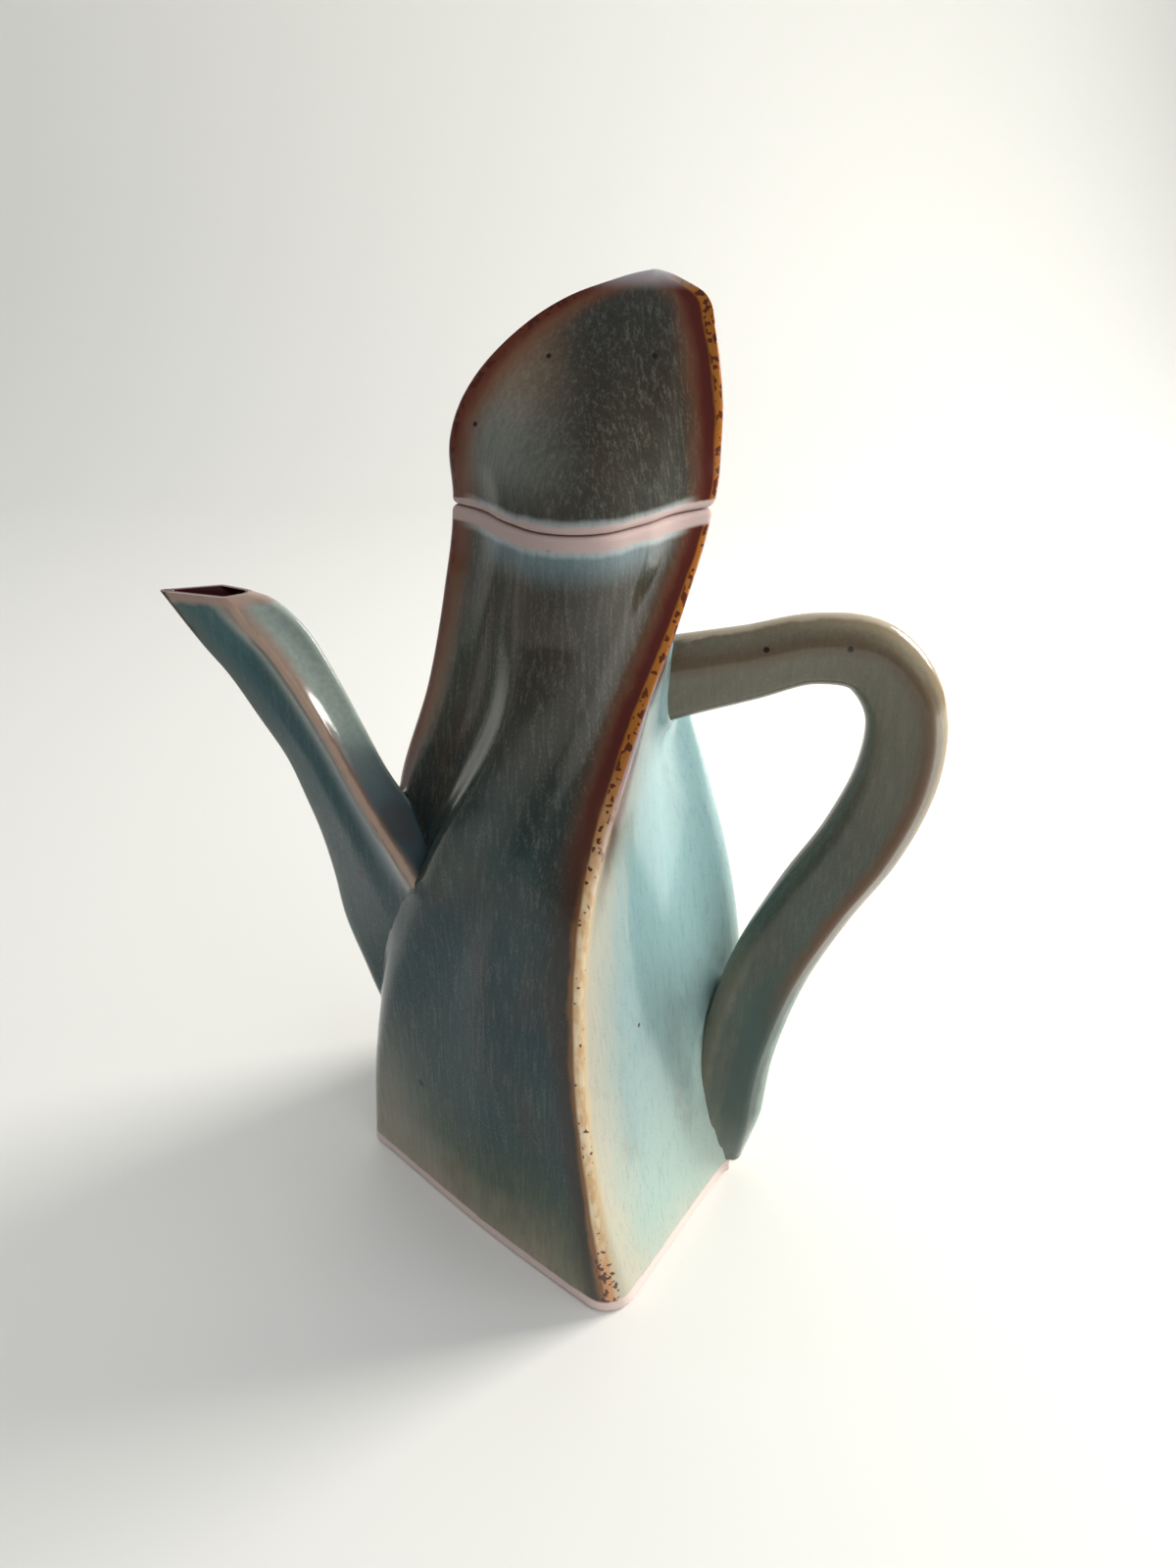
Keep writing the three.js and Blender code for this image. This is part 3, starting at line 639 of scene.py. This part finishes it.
def handle_path(steps):
    """Middle points of the strap, evenly spaced, on a smooth curve through HANDLE_POINTS whose places
    are the square roots of the chords between them, added up."""
    heights = HANDLE_HEIGHT * HANDLE_POINTS[:, 2]
    edge = through(STATIONS, EDGES["right"][0], station_at(heights))
    knots = np.stack([mix(edge, HANDLE_REACH, HANDLE_POINTS[:, 0]), -HANDLE_SWAY * HANDLE_POINTS[:, 1],
                      heights], -1)
    chords = np.linalg.norm(np.diff(knots, axis=0), axis=-1)
    places = np.concatenate([[0], np.cumsum(np.sqrt(chords))])
    fine = np.linspace(0, places[-1], 1500)
    curve = np.stack([through(places, axis, fine) for axis in knots.T], -1)
    run = np.concatenate([[0], np.cumsum(np.linalg.norm(np.diff(curve, axis=0), axis=-1))])
    at = np.linspace(0, run[-1], steps)
    return np.stack([np.interp(at, run, axis) for axis in curve.T], -1)


def handle_rings(steps):
    """The strap's section carried along its path, and turned with it in the X-Z plane."""
    t = np.linspace(0, 1, steps)
    path = handle_path(steps)
    along = np.gradient(path, axis=0)
    along[:, 1] = 0
    along = unit(along)
    outward = np.stack([-along[:, 2], np.zeros(steps), along[:, 0]], -1)
    width = through(*HANDLE_WIDTHS, t)
    depth = HANDLE_DEPTH * through([0, 0.9, 1], [1, 1, 0.6], t)
    corners = HANDLE_SECTION[None] * np.stack([width, depth], -1)[:, None]
    radii = np.broadcast_to(np.array(HANDLE_RADII, float), (steps, 5))
    flat = outline(corners, radii, HANDLE_CORNER_STEPS, HANDLE_SIDE_STEPS)[:, ::-1]
    return (path[:, None] + outward[:, None] * flat[..., :1]
            + np.array([0, 1, 0])[None, None] * flat[..., 1:])


def handle_reach(places):
    """How broad a fillet joins the strap to the pot: broad at its root, tight down its foot."""
    return mix(STRAP_CREASE, STRAP_ROOT, smooth_step(*STRAP_UP, places[:, 2]))


def make_handle(material):
    """The strap, closed to a point at both ends."""
    steps = HANDLE_RINGS
    t = np.linspace(0, 1, steps)
    rings = handle_rings(steps)
    along = unit(np.gradient(handle_path(steps), axis=0))
    ends = [rings[:1].mean(axis=1, keepdims=True), rings[-1:].mean(axis=1, keepdims=True)]
    tip = along[-1] * HANDLE_TIP_WIDTH * 0.25
    turn = np.linspace(0, math.pi / 2, TIP_STEPS)[1:-1, None, None]
    cap = ends[1] + (rings[-1:] - ends[1]) * np.cos(turn) + tip * np.sin(turn)
    full = np.ones((1, rings.shape[1], 1))
    points = np.concatenate([ends[0] * full, rings, cap, (ends[1] + tip) * full])
    rows, columns = points.shape[:2]
    middles = np.arange(2) * HANDLE_STRIDE + HANDLE_CORNER_STEPS // 2
    edge, rim = distances_from(points, columns - 1 - middles)
    place = np.concatenate([[0], t, np.ones(rows - steps - 1)])[:, None] * np.ones_like(edge)
    values = {"strap_edge": edge, "strap_rim": rim, "along": place}
    faces = grid_faces(rows, columns, closed_columns=True)
    make_piece("handle_glazed", points, faces, values, material, "pot", "handle")


# Kinds of shader node that come more than once: type and settings. STEP takes a value, where it is 0
# and where it is 1, and goes smoothly between. MIX takes a share and the colours for 0 and for 1.
SUM = ("Math", {"operation": "ADD"})
MINUS = ("Math", {"operation": "SUBTRACT"})
TIMES = ("Math", {"operation": "MULTIPLY"})
HELD = ("Math", {"operation": "MULTIPLY", "use_clamp": True})
LARGER = ("Math", {"operation": "MAXIMUM"})
STEP = ("MapRange", {"interpolation_type": "SMOOTHSTEP"})
MIX = ("Mix", {"data_type": "RGBA"})

# What glaze and clay, both silicates, give the eye: how they mirror, and bumps in millimetres
SILICATE_IOR = 1.52
GLAZE_ROUGHNESS = 0.12
CLAY_ROUGHNESS = 0.8
BUMP_STRENGTH = 0.35
GLAZE_BUMP = 0.6
CLAY_BUMP = 0.15

# Widths of the patterns in millimetres, and how many times as tall as wide a streak is
DRIFT = 33.33
CLOUD = 26.32
RIPPLE = 18.18
PATCH = 16.67
WAVE = 8.333
WANDER = 3.846
BRUSH = 3.125
CREST_GRAIN = 1.923
DOT = 1.786
STREAK = 1.0
STREAK_TALL = 11.76
SPECKLE = 0.4348
PIT = 0.7143
GRAIN = 0.3846

# Colours of bare clay, of the glaze on the inside and of pinholes
BARE_CLAY = "#e0cbc4"
SEAM_CLAY = "#b7a19c"
MAROON = "#3a1216"
PINHOLE = "#15100e"

# Pinholes: where, and how wide
FRONT_PINHOLES = [((-47.8, -19.1, 43.9), 1.5), ((-31.8, -31.1, 98.9), 1.4), ((16.3, -3, 246.4), 0.9),
                  ((-7.1, -3.5, 246.4), 0.8), ((-24.2, -2.8, 231.6), 0.8), ((-6.2, -26.6, 209.9), 0.9)]
BACK_PINHOLES = [((16.3, -35, 82.5), 0.8)]
SPOUT_PINHOLES = [((-60.5, -11.3, 113.4), 1.9)]
HANDLE_PINHOLES = [((45.2, -10.6, 180.6), 1.0), ((65.2, -11.7, 181.3), 1.0), ((53.3, -9.2, 110), 0.9)]

# Colours of the celadon by height. Those of the spout's side are darker than the glaze itself, as painted
# shade; those of the handle's side are lighter, as painted light from the lamps, and palest low down, as
# painted light from the floor. The dark teal is where the glaze pools.
GLAZE_HEIGHT = 270
FRONT_STOPS_WITH_SHADE = [(0, "#978c79"), (10, "#7a7863"), (27, "#384c3b"), (48, "#0f3a3c"), (100, "#08343d"),
               (128, "#1f3838"), (160, "#2e302b"), (195, "#332f26"), (213, "#3a3a33"), (238, "#2f2a21"),
               (254, "#30302c"), (266, "#4a443c")]
BACK_STOPS_WITH_LIGHT = [(0, "#b2b8ab"), (20, "#a0b6ab"), (70, "#8eacab"), (120, "#8db1b3"), (165, "#8aa9ab"),
              (200, "#68736f"), (230, "#65645d"), (266, "#5b5048")]
SPOUT_STOPS = [(0, "#173b3c"), (60, "#143a3d"), (110, "#0f393f"), (150, "#124249"), (192, "#2b565a")]
HANDLE_STOPS = [(0, "#6d6d58"), (20, "#4f5e4d"), (60, "#314d45"), (100, "#3c4a3f"), (130, "#4a4c40"),
                (160, "#5f5c4c"), (200, "#6a6758")]

# Zones of the glaze, each from where its share is 0 to where it is 1: heights, distances above the
# seam, distances from a ridge, and how strong the noise is where the iron gathers in dots
HIGH_UP = (112, 165)
AT_FOOT = (36, 8)
ON_LID = (214, 226)
LID_TIP = (LID_TOP - 4.6, LID_TOP)
BARE_FOOT = (5, 4)
BARE_ABOVE_SEAM = (2.3, 1.6)
BARE_BELOW_SEAM = (-3.9, -2.9)
ROLL_BELOW_SEAM = (-14, -4)
LINE_BELOW_SEAM = (-5.4, -3.8)
LINE_ABOVE_SEAM = (3.8, 2.1)
AWAY = (7, 26)
# HALO_AND_SHADE: the dark halo beside a ridge, which low down is partly painted shadow
HALO_AND_SHADE = (12.5, 3.5)
FRONT_MAROON = (8.5, 4.6)
BACK_MAROON = (6.0, 2.0)
INNER = (3.8, 2.0)
CREST = (1.9, 0.9)
DOT_BAND = (1.9, 1.2)
DOTTED = (0.67, 0.71)


def linear(code):
    """An sRGB hex colour as linear red, green, blue and alpha."""
    channels = np.array([int(code[i:i + 2], 16) for i in (1, 3, 5)]) / 255
    curve = np.where(channels <= 0.04045, channels / 12.92, ((channels + 0.055) / 1.055) ** 2.4)
    return (*curve, 1.0)


def add(tree, kind, *inputs, output=None, **named):
    """Adds a node and gives its output: the first in use, unless output names one. kind is its type
    after ShaderNode, or that and settings. inputs feed its sockets in use, in order. In named, a
    capital starts the name of a socket, with _ for a space, and a small letter a setting. A socket is
    fed by another node's output, a number, a vector or an sRGB hex colour."""
    kind, settings = (kind, {}) if isinstance(kind, str) else kind
    node = tree.nodes.new("ShaderNode" + kind)
    for key, value in (settings | named).items():
        if key[0].islower():
            setattr(node, key, value)
    feeds = list(zip([socket for socket in node.inputs if socket.enabled], inputs))
    feeds += [(node.inputs[key.replace("_", " ")], named[key]) for key in named if key[0].isupper()]
    for socket, value in feeds:
        if isinstance(value, bpy.types.NodeSocket):
            tree.links.new(value, socket)
        else:
            socket.default_value = linear(value) if isinstance(value, str) else value
    if output:
        return node.outputs[output]
    return next((socket for socket in node.outputs if socket.enabled), None)


def product(tree, *factors):
    """The product of sockets, numbers and steps. A step is a value, where it is 0 and where it is 1."""
    result = None
    for factor in factors:
        factor = add(tree, STEP, *factor) if isinstance(factor, tuple) else factor
        result = factor if result is None else add(tree, TIMES, result, factor)
    return result


def layers(tree, colour, *coats):
    """A colour with coats over it, each a colour and the factors that make up its share."""
    for over, *factors in coats:
        colour = add(tree, MIX, product(tree, *factors), colour, over)
    return colour


def lumps(tree, place, wide, tall=1.0, detail=2.0, roughness=0.5, shift=(0, 0, 0)):
    """Soft noise, from 0 to 1, in lumps of a width in millimetres that are so many times as tall."""
    scale = (1 / wide, 1 / wide, 1 / (wide * tall))
    at = add(tree, "Mapping", place, Location=shift, Scale=scale)
    return add(tree, "TexNoise", at, Scale=1.0, Detail=detail, Roughness=roughness)


def wobble(tree, place, wide, reach, tall=1.0, detail=3.0):
    """Soft noise moved to lie between minus and plus reach."""
    return product(tree, add(tree, MINUS, lumps(tree, place, wide, tall, detail), 0.5), 2 * reach)


def dotted(tree, place, spots):
    """Coats of dark pinholes for layers: spots are (place, width) in millimetres."""
    coats = []
    for spot, size in spots:
        away = add(tree, "VectorMath", place, spot, operation="DISTANCE")
        coats.append((PINHOLE, (away, size, 0.5 * size)))
    return coats


def new_material(name):
    """An empty material, its node tree, and the place on the object in millimetres."""
    material = bpy.data.materials.new(name)
    material.use_nodes = True
    tree = material.node_tree
    tree.nodes.clear()
    metres = add(tree, "TexCoord", output="Object")
    return material, tree, add(tree, "VectorMath", metres, operation="SCALE", Scale=1 / MM)


def values_of(tree, *names):
    """The piece's own values per point."""
    return [add(tree, "Attribute", attribute_name=name, output="Fac") for name in names]


def shade(tree, colour, roughness, height, depth):
    """The shader with its bumps, depth millimetres deep, on the material's output."""
    bump = add(tree, "Bump", Strength=BUMP_STRENGTH, Distance=depth * MM, Height=height)
    add(tree, "OutputMaterial",
        add(tree, "BsdfPrincipled", Base_Color=colour, Roughness=roughness, IOR=SILICATE_IOR,
            Normal=bump))


def shade_glaze(tree, place, colour, bare=None):
    """Glaze, or the clay where bare is 1. The glaze is glass: it gives the eye a sharp, slowly rippling
    reflection with fine pits in it. The clay is dry and grainy, and has no shine."""
    pits = lumps(tree, place, PIT, detail=1.0)
    height = add(tree, SUM, lumps(tree, place, RIPPLE, 1.667), product(tree, pits, 0.02))
    roughness = add(tree, SUM, product(tree, pits, 0.08), GLAZE_ROUGHNESS)
    if bare is not None:
        grain = lumps(tree, place, GRAIN, 1.0, 3.0, 0.7)
        height = add(tree, "Mix", bare, height, product(tree, grain, 0.25))
        roughness = add(tree, SUM, product(tree, bare, 0.62), roughness)
    shade(tree, colour, roughness, height, GLAZE_BUMP)


def glaze_body(tree, place, stops):
    """The celadon away from any edge, and the height: colours by height, moved up and down by slow
    noise, with brown clouds."""
    z = add(tree, "SeparateXYZ", place, output="Z")
    moved = wobble(tree, place, DRIFT, 0.07, 1.429)
    colour = add(tree, "ValToRGB", add(tree, SUM, product(tree, z, 1 / GLAZE_HEIGHT), moved))
    elements = colour.node.color_ramp.elements
    for element, (height, code) in ((elements[0], stops[0]), (elements[1], stops[-1])):
        element.position, element.color = height / GLAZE_HEIGHT, linear(code)
    for height, code in stops[1:-1]:
        elements.new(height / GLAZE_HEIGHT).color = linear(code)
    clouds = lumps(tree, place, CLOUD, 2.0, 4.0, 0.6, (5, 2, 1))
    return layers(tree, colour, ("#4a3524", (clouds, 0.48, 0.75), 0.4)), z


def streak(tree, place, colour, contrast):
    """Fine upright streaks where the glaze ran, and a speckle of iron. The speckle is drawn coarser
    than the real iron, to show in the picture."""
    streaks = wobble(tree, place, STREAK, 0.5, STREAK_TALL, 4.0)
    speckle = wobble(tree, place, SPECKLE, 0.5, 2.0, 2.0)
    light = add(tree, SUM, product(tree, streaks, 0.55 * contrast), product(tree, speckle, 0.4 * contrast))
    return layers(tree, colour, ("#a3a492", add(tree, HELD, light, 1.0)),
                  ("#12140f", add(tree, HELD, light, -1.6)))


def glaze_breaks(tree, place, z, colour, front, back, is_front):
    """Where the glaze thins over a sharp ridge it breaks: high up through red-brown and maroon to an
    amber crest, low down through dark brown to cream, with dots of iron along it. Low down the dark
    brown beside the ridge is partly painted shadow, and the cream crest partly a painted highlight. On
    the handle's side the halo is pale, and the crest a pinkish purple high up."""
    wander = wobble(tree, place, WANDER, 1.4, 2.5)
    dots = lumps(tree, place, DOT, 1.0, 1.0, 0.5, (1, 4, 2))
    high_up = add(tree, STEP, z, *HIGH_UP)
    low_down = add(tree, MINUS, 1.0, high_up)
    foot = add(tree, STEP, z, *AT_FOOT)
    many = add(tree, LARGER, foot, product(tree, high_up, 0.8))
    grain = (lumps(tree, place, CREST_GRAIN, 2.5, 3.0), 0.35, 0.65)
    # The crest: amber, purple or cream where the glaze breaks; low down its cream is partly a painted
    # highlight on the ridge's lit side
    crest_and_highlight_colour = layers(tree, "#d9b180", ("#ecd7b2", grain), ("#cf9465", foot),
                          ("#9c5f1a" if is_front else "#8d6f78", high_up))
    # The halo: brown where the glaze breaks high up; low down its dark brown is partly painted shadow
    # beside the ridge
    halo_and_shade_colour = layers(tree, "#2f2118", ("#6f4026", high_up))
    for ridge, is_fore in ((front, True), (back, False)):
        near = add(tree, SUM, ridge, wander)
        halo_and_shade_share = 1.0 if is_front or not is_fore else high_up
        colour = layers(tree, colour, (halo_and_shade_colour, (near, *HALO_AND_SHADE), halo_and_shade_share, 0.85),
                        ("#480f05", (near, *FRONT_MAROON), high_up, 0.95) if is_fore else
                        ("#5a1f0d", (near, *BACK_MAROON), high_up, 0.95))
        if is_fore:
            inner_colour = "#8c5e30" if is_front else "#cdb993"
            colour = layers(tree, colour, (inner_colour, (near, *INNER), low_down, 0.8))
        inward = add(tree, MINUS, product(tree, wander, 0.3), product(tree, high_up, 1.5))
        strength = 0.95 if is_fore else add(tree, MINUS, 0.8, product(tree, high_up, 0.5))
        spots = add(tree, SUM, dots, product(tree, many, 0.17))
        band = add(tree, MINUS, ridge, product(tree, many, 1.4))
        colour = layers(
            tree, colour,
            (crest_and_highlight_colour if is_fore else "#5e3518", (add(tree, SUM, ridge, inward), *CREST), strength),
            ("#470f06", (spots, *DOTTED), (band, *DOT_BAND), 0.9, 1.0 if is_front else low_down))
    return colour


def seam_and_foot(tree, place, z):
    """Shares of three zones. Bare: clay at the foot and on both sides of the lid's seam, under a wavy
    glaze line. Roll: the pale, thick roll of glaze that hangs below the seam. Line: its pale edge."""
    level = add(tree, SUM, z, wobble(tree, place, WAVE, 0.9))
    from_seam = add(tree, MINUS, level, NECK_HEIGHT)
    is_lid = add(tree, "Math", z, NECK_HEIGHT, operation="GREATER_THAN")
    is_pot = add(tree, MINUS, 1.0, is_lid)
    above, below, roll, line, line_above = (
        product(tree, (from_seam, *zone), side)
        for zone, side in ((BARE_ABOVE_SEAM, is_lid), (BARE_BELOW_SEAM, is_pot), (ROLL_BELOW_SEAM, is_pot),
                           (LINE_BELOW_SEAM, is_pot), (LINE_ABOVE_SEAM, is_lid)))
    bare = add(tree, LARGER, add(tree, STEP, level, *BARE_FOOT), add(tree, LARGER, above, below))
    return bare, roll, add(tree, LARGER, line, line_above)


def make_wall_glaze(name, stops, pinholes, is_front):
    """Celadon: a clear feldspar glaze, tinted green by a little iron, on pink stoneware. It was
    dipped, wiped off the foot and the seam, and fired glossy. It gives the eye depth: dark teal where
    it pools, pale where it is thin, brown where it breaks. Its stops are darker on the spout's side,
    as painted shade, and lighter on the handle's side, as painted light. On the spout's side the lid's
    left is painted lighter, as painted light, and the lower left corner is beige; on the handle's side
    cream runs along the front ridge."""
    material, tree, place = new_material(name)
    colour, z = glaze_body(tree, place, stops)
    front, back, inside = values_of(tree, "front_ridge", "back_ridge", "inside")
    bare, roll, line = seam_and_foot(tree, place, z)
    away = product(tree, (front, *AWAY), (back, *AWAY))
    if is_front:
        x = add(tree, "SeparateXYZ", place, output="X")
        # Painted light: the left of the lid's scooped front, which faces the light, is painted lighter, and
        # brownish higher up
        moved = add(tree, SUM, x, wobble(tree, place, PATCH, 5))
        lid_painted_light_colour = layers(tree, "#787c74", ("#8f745a", (z, 228, 250)))
        colour = layers(tree, colour, (lid_painted_light_colour, (moved, 4, -20), (z, *ON_LID), 0.85),
                        ("#8d8474", (x, -38, -66), (z, 80, 25), 0.65))
    else:
        moved = add(tree, SUM, front, wobble(tree, place, BRUSH, 6, 8.333))
        colour = layers(tree, colour, ("#c2b59d", (moved, 22, 2), (z, 190, 120), 0.75))
    colour = layers(tree, colour, ("#79939a", roll, away, 0.62 if is_front else 0.4),
                    ("#b9c2c2", line, (front, 3, 9), 0.6))
    colour = streak(tree, place, colour, 0.9 if is_front else 0.7)
    colour = glaze_breaks(tree, place, z, colour, front, back, is_front)
    clay = layers(tree, SEAM_CLAY, (BARE_CLAY, (z, 30, 10)))
    colour = layers(tree, colour, ("#b3b0b4", (z, *LID_TIP), 0.9),
                    *dotted(tree, place, pinholes), (MAROON, inside), (clay, bare))
    shade_glaze(tree, place, colour, bare)
    return material


def make_spout_glaze():
    """The same celadon on the spout: pale and speckled on the upper facet, deep teal below, and
    thinned to a pinkish brown along the side ridges and the lip, with a painted highlight on the top ridge."""
    material, tree, place = new_material("Celadon glaze, spout")
    colour, z = glaze_body(tree, place, SPOUT_STOPS)
    colour = streak(tree, place, colour, 0.6)
    keel, upper, top, ridge, inside = values_of(tree, "keel", "upper", "top_ridge", "spout_ridge", "inside")
    wander = wobble(tree, place, 3.333, 0.9)
    keel = add(tree, SUM, keel, wander)
    pale = layers(tree, "#76837e", ("#98a49c", lumps(tree, place, 1.25)), ("#5b6c74", (z, 165, 128)))
    top = add(tree, SUM, top, product(tree, wander, 0.5))
    ridge = add(tree, SUM, ridge, wander)
    at_root = add(tree, STEP, z, 130, 116)
    worn = (ridge, add(tree, SUM, 5.2, product(tree, at_root, 2.0)), 0.6)
    worn_colour = layers(tree, "#8d6f5f", ("#8f8376", at_root))
    away = add(tree, "VectorMath", place, (-50.5, -10, 129), operation="DISTANCE")
    lip = (add(tree, SUM, z, wander), MOUTH_HEIGHT - 3.4, MOUTH_HEIGHT - 1.4)
    patches = (lumps(tree, place, PATCH, 1.0, 1.0, 0.5, (9, 2, 3)), 0.5, 0.56)
    iron = add(tree, LARGER, product(tree, patches, (z, 140, 160)),
               add(tree, STEP, z, MOUTH_HEIGHT - 14, MOUTH_HEIGHT - 8))
    # The pale line on the top ridge, #a6b0a6, is a painted highlight
    colour = layers(
        tree, colour, ("#58615a", (keel, 8, 2), 0.55), (pale, (upper, 0.3, 0.9), (z, 112, 124)),
        ("#a6b0a6", (top, 2.2, 0.8), 0.55), (worn_colour, worn, 0.85), ("#b39a88", (ridge, 1.5, 0.5), 0.7),
        ("#5b3c16", (away, 9, 4.5), 0.3), ("#a08578", lip, 0.85), (MAROON, (keel, 2.6, 1.4), iron),
        (MAROON, inside), *dotted(tree, place, SPOUT_PINHOLES))
    shade_glaze(tree, place, colour)
    return material


def make_handle_glaze():
    """The celadon on the strap: olive grey with a teal band low down, tan on the outer edge under a
    painted highlight along its rim, and a brown line inside it."""
    material, tree, place = new_material("Celadon glaze, handle")
    colour, _ = glaze_body(tree, place, HANDLE_STOPS)
    colour = streak(tree, place, colour, 0.6)
    edge, rim, along = values_of(tree, "strap_edge", "strap_rim", "along")
    wander = wobble(tree, place, 6.25, 1.4)
    edge, rim = add(tree, SUM, edge, wander), add(tree, SUM, rim, wander)
    low = add(tree, STEP, along, 0.6, 0.72)
    outer_colour = layers(tree, "#a38c6b", ("#8ba297", low))
    line_share = add(tree, SUM, 0.45, product(tree, (along, 0.25, 0.45), 0.5))
    # The pale colour on the outer rim, #cdbfa8, is a painted highlight
    colour = layers(
        tree, colour, ("#1f3d38", (edge, 10, 5.5), low, 0.8), ("#877c69", (edge, 11, 16), low, 0.6),
        (outer_colour, (rim, 6.0, 2.0), (along, 0.05, 0.4), 0.75),
        ("#583a1d", (edge, 5.0, 0.8), (along, 0.78, 0.6), line_share),
        ("#cdbfa8", (rim, 2.2, 0.8), 0.5), *dotted(tree, place, HANDLE_PINHOLES))
    shade_glaze(tree, place, colour)
    return material


def make_clay():
    """Bare pink stoneware for the underside and the lid's flange. It gives the eye a dry, slightly
    grainy surface without shine."""
    material, tree, place = new_material("Bare stoneware")
    colour = layers(tree, "#c49f96", ("#dcc0b6", lumps(tree, place, 2.5, 1.0, 4.0, 0.7)))
    shade(tree, colour, CLAY_ROUGHNESS, lumps(tree, place, GRAIN, 1.0, 3.0, 0.7), CLAY_BUMP)
    return material


# The stage. The sweep's profile: depth behind the pot and height, in millimetres
SWEEP_DEPTH = [-900, 0, 700, 900, 1050, 1130, 1150, 1150]
SWEEP_RISE = [0, 0, 0, 20, 110, 300, 600, 1500]
SWEEP_HALF_WIDTH = 1800
SWEEP_ROWS = 80
SWEEP_COLUMNS = 5

# Lamps: name, place, size and power, colour, and whether the glaze mirrors them. The two broad lamps
# stand for light from the whole room. Mirrored, they would lie as a grey veil on the lid and the neck,
# which the real glaze doesn't show.
LAMPS = [
    ("window", (880, 400, 540), (420, 460), 15, "#fffaf2", True),
    ("side", (1300, -900, 900), (2000, 2000), 16, "#ffffff", False),
    ("top", (-200, 300, 1700), (2200, 2200), 15, "#ffffff", False),
]
LAMP_AIM = (0, 0, 120)
ROOM_COLOUR = "#dfe3e6"
ROOM_LIGHT = 0.3

# The camera, found from the pot's lines in the photograph: place in millimetres, pitch below the
# horizon and heading in degrees, and the lens on a frame of SENSOR_HEIGHT
CAMERA_PLACE = (10.35, -258.51, 280)
CAMERA_PITCH = 29
CAMERA_HEADING = 1.968
LENS = 24.95
SENSOR_HEIGHT = 36


def make_floor():
    """A pale sweep: a flat floor that curves up into a backdrop."""
    x = np.linspace(-SWEEP_HALF_WIDTH, SWEEP_HALF_WIDTH, SWEEP_COLUMNS)
    knots = np.arange(len(SWEEP_DEPTH))
    fine = np.linspace(0, knots[-1], SWEEP_ROWS)
    depth = through(knots, SWEEP_DEPTH, fine)[:, None]
    rise = np.maximum(through(knots, SWEEP_RISE, fine), 0)[:, None]
    points = np.stack(np.broadcast_arrays(x[None, :], depth, rise), -1)
    mesh = bpy.data.meshes.new("floor")
    mesh.from_pydata((points.reshape(-1, 3) * MM).tolist(), [],
                     grid_faces(SWEEP_ROWS, SWEEP_COLUMNS).tolist())
    mesh.polygons.foreach_set("use_smooth", [True] * len(mesh.polygons))
    material = bpy.data.materials.new("Pale paper")
    material.use_nodes = True
    shader = material.node_tree.nodes["Principled BSDF"]
    shader.inputs["Base Color"].default_value = linear("#e3e3df")
    shader.inputs["Roughness"].default_value = 0.85
    mesh.materials.append(material)
    floor = bpy.data.objects.new("floor", mesh)
    bpy.context.scene.collection.objects.link(floor)


def make_lights():
    """Daylight from the right and a little behind, broad soft light from above and from the right, and
    a weak fill from all round."""
    for name, place, size, power, colour, is_mirrored in LAMPS:
        lamp = bpy.data.lights.new(name, "AREA")
        lamp.shape = "RECTANGLE"
        lamp.size, lamp.size_y = size[0] * MM, size[1] * MM
        lamp.energy = power
        lamp.color = linear(colour)[:3]
        light = bpy.data.objects.new(name, lamp)
        bpy.context.scene.collection.objects.link(light)
        way = np.array(LAMP_AIM, float) - np.array(place, float)
        tilt = math.atan2(math.hypot(way[0], way[1]), -way[2])
        light.location = tuple(v * MM for v in place)
        light.rotation_euler = (tilt, 0, math.atan2(way[1], way[0]) - math.pi / 2)
        light.visible_glossy = is_mirrored
    world = bpy.data.worlds.new("room")
    world.use_nodes = True
    background = world.node_tree.nodes["Background"]
    background.inputs["Color"].default_value = linear(ROOM_COLOUR)
    background.inputs["Strength"].default_value = ROOM_LIGHT
    bpy.context.scene.world = world


def make_camera():
    """The photograph's view: a wide lens close by, looking down."""
    camera = bpy.data.cameras.new("camera")
    camera.sensor_fit = "VERTICAL"
    camera.sensor_height = SENSOR_HEIGHT
    camera.lens = LENS
    camera.clip_start = 0.01
    holder = bpy.data.objects.new("camera", camera)
    holder.location = tuple(v * MM for v in CAMERA_PLACE)
    holder.rotation_euler = (math.radians(90 - CAMERA_PITCH), 0, math.radians(CAMERA_HEADING))
    bpy.context.scene.collection.objects.link(holder)
    bpy.context.scene.camera = holder


def dress_cad_nodes(material):
    """The floor slab and the flange keep their CAD shape and get the bare clay."""
    for node in ("floor_slab", "lid_flange"):
        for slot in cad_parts[node].material_slots:
            slot.material = material


make_camera()
make_floor()
make_lights()
# The front glaze carries painted shade and the back glaze painted light
glazes = (make_wall_glaze("Celadon glaze, front, painted light and shade", FRONT_STOPS_WITH_SHADE, FRONT_PINHOLES, True),
          make_wall_glaze("Celadon glaze, back, painted light", BACK_STOPS_WITH_LIGHT, BACK_PINHOLES, False))
make_walls(*glazes)
make_lid(*glazes)
make_spout(make_spout_glaze())
make_handle(make_handle_glaze())
dress_cad_nodes(make_clay())

bpy.context.scene.view_settings.view_transform = "Standard"
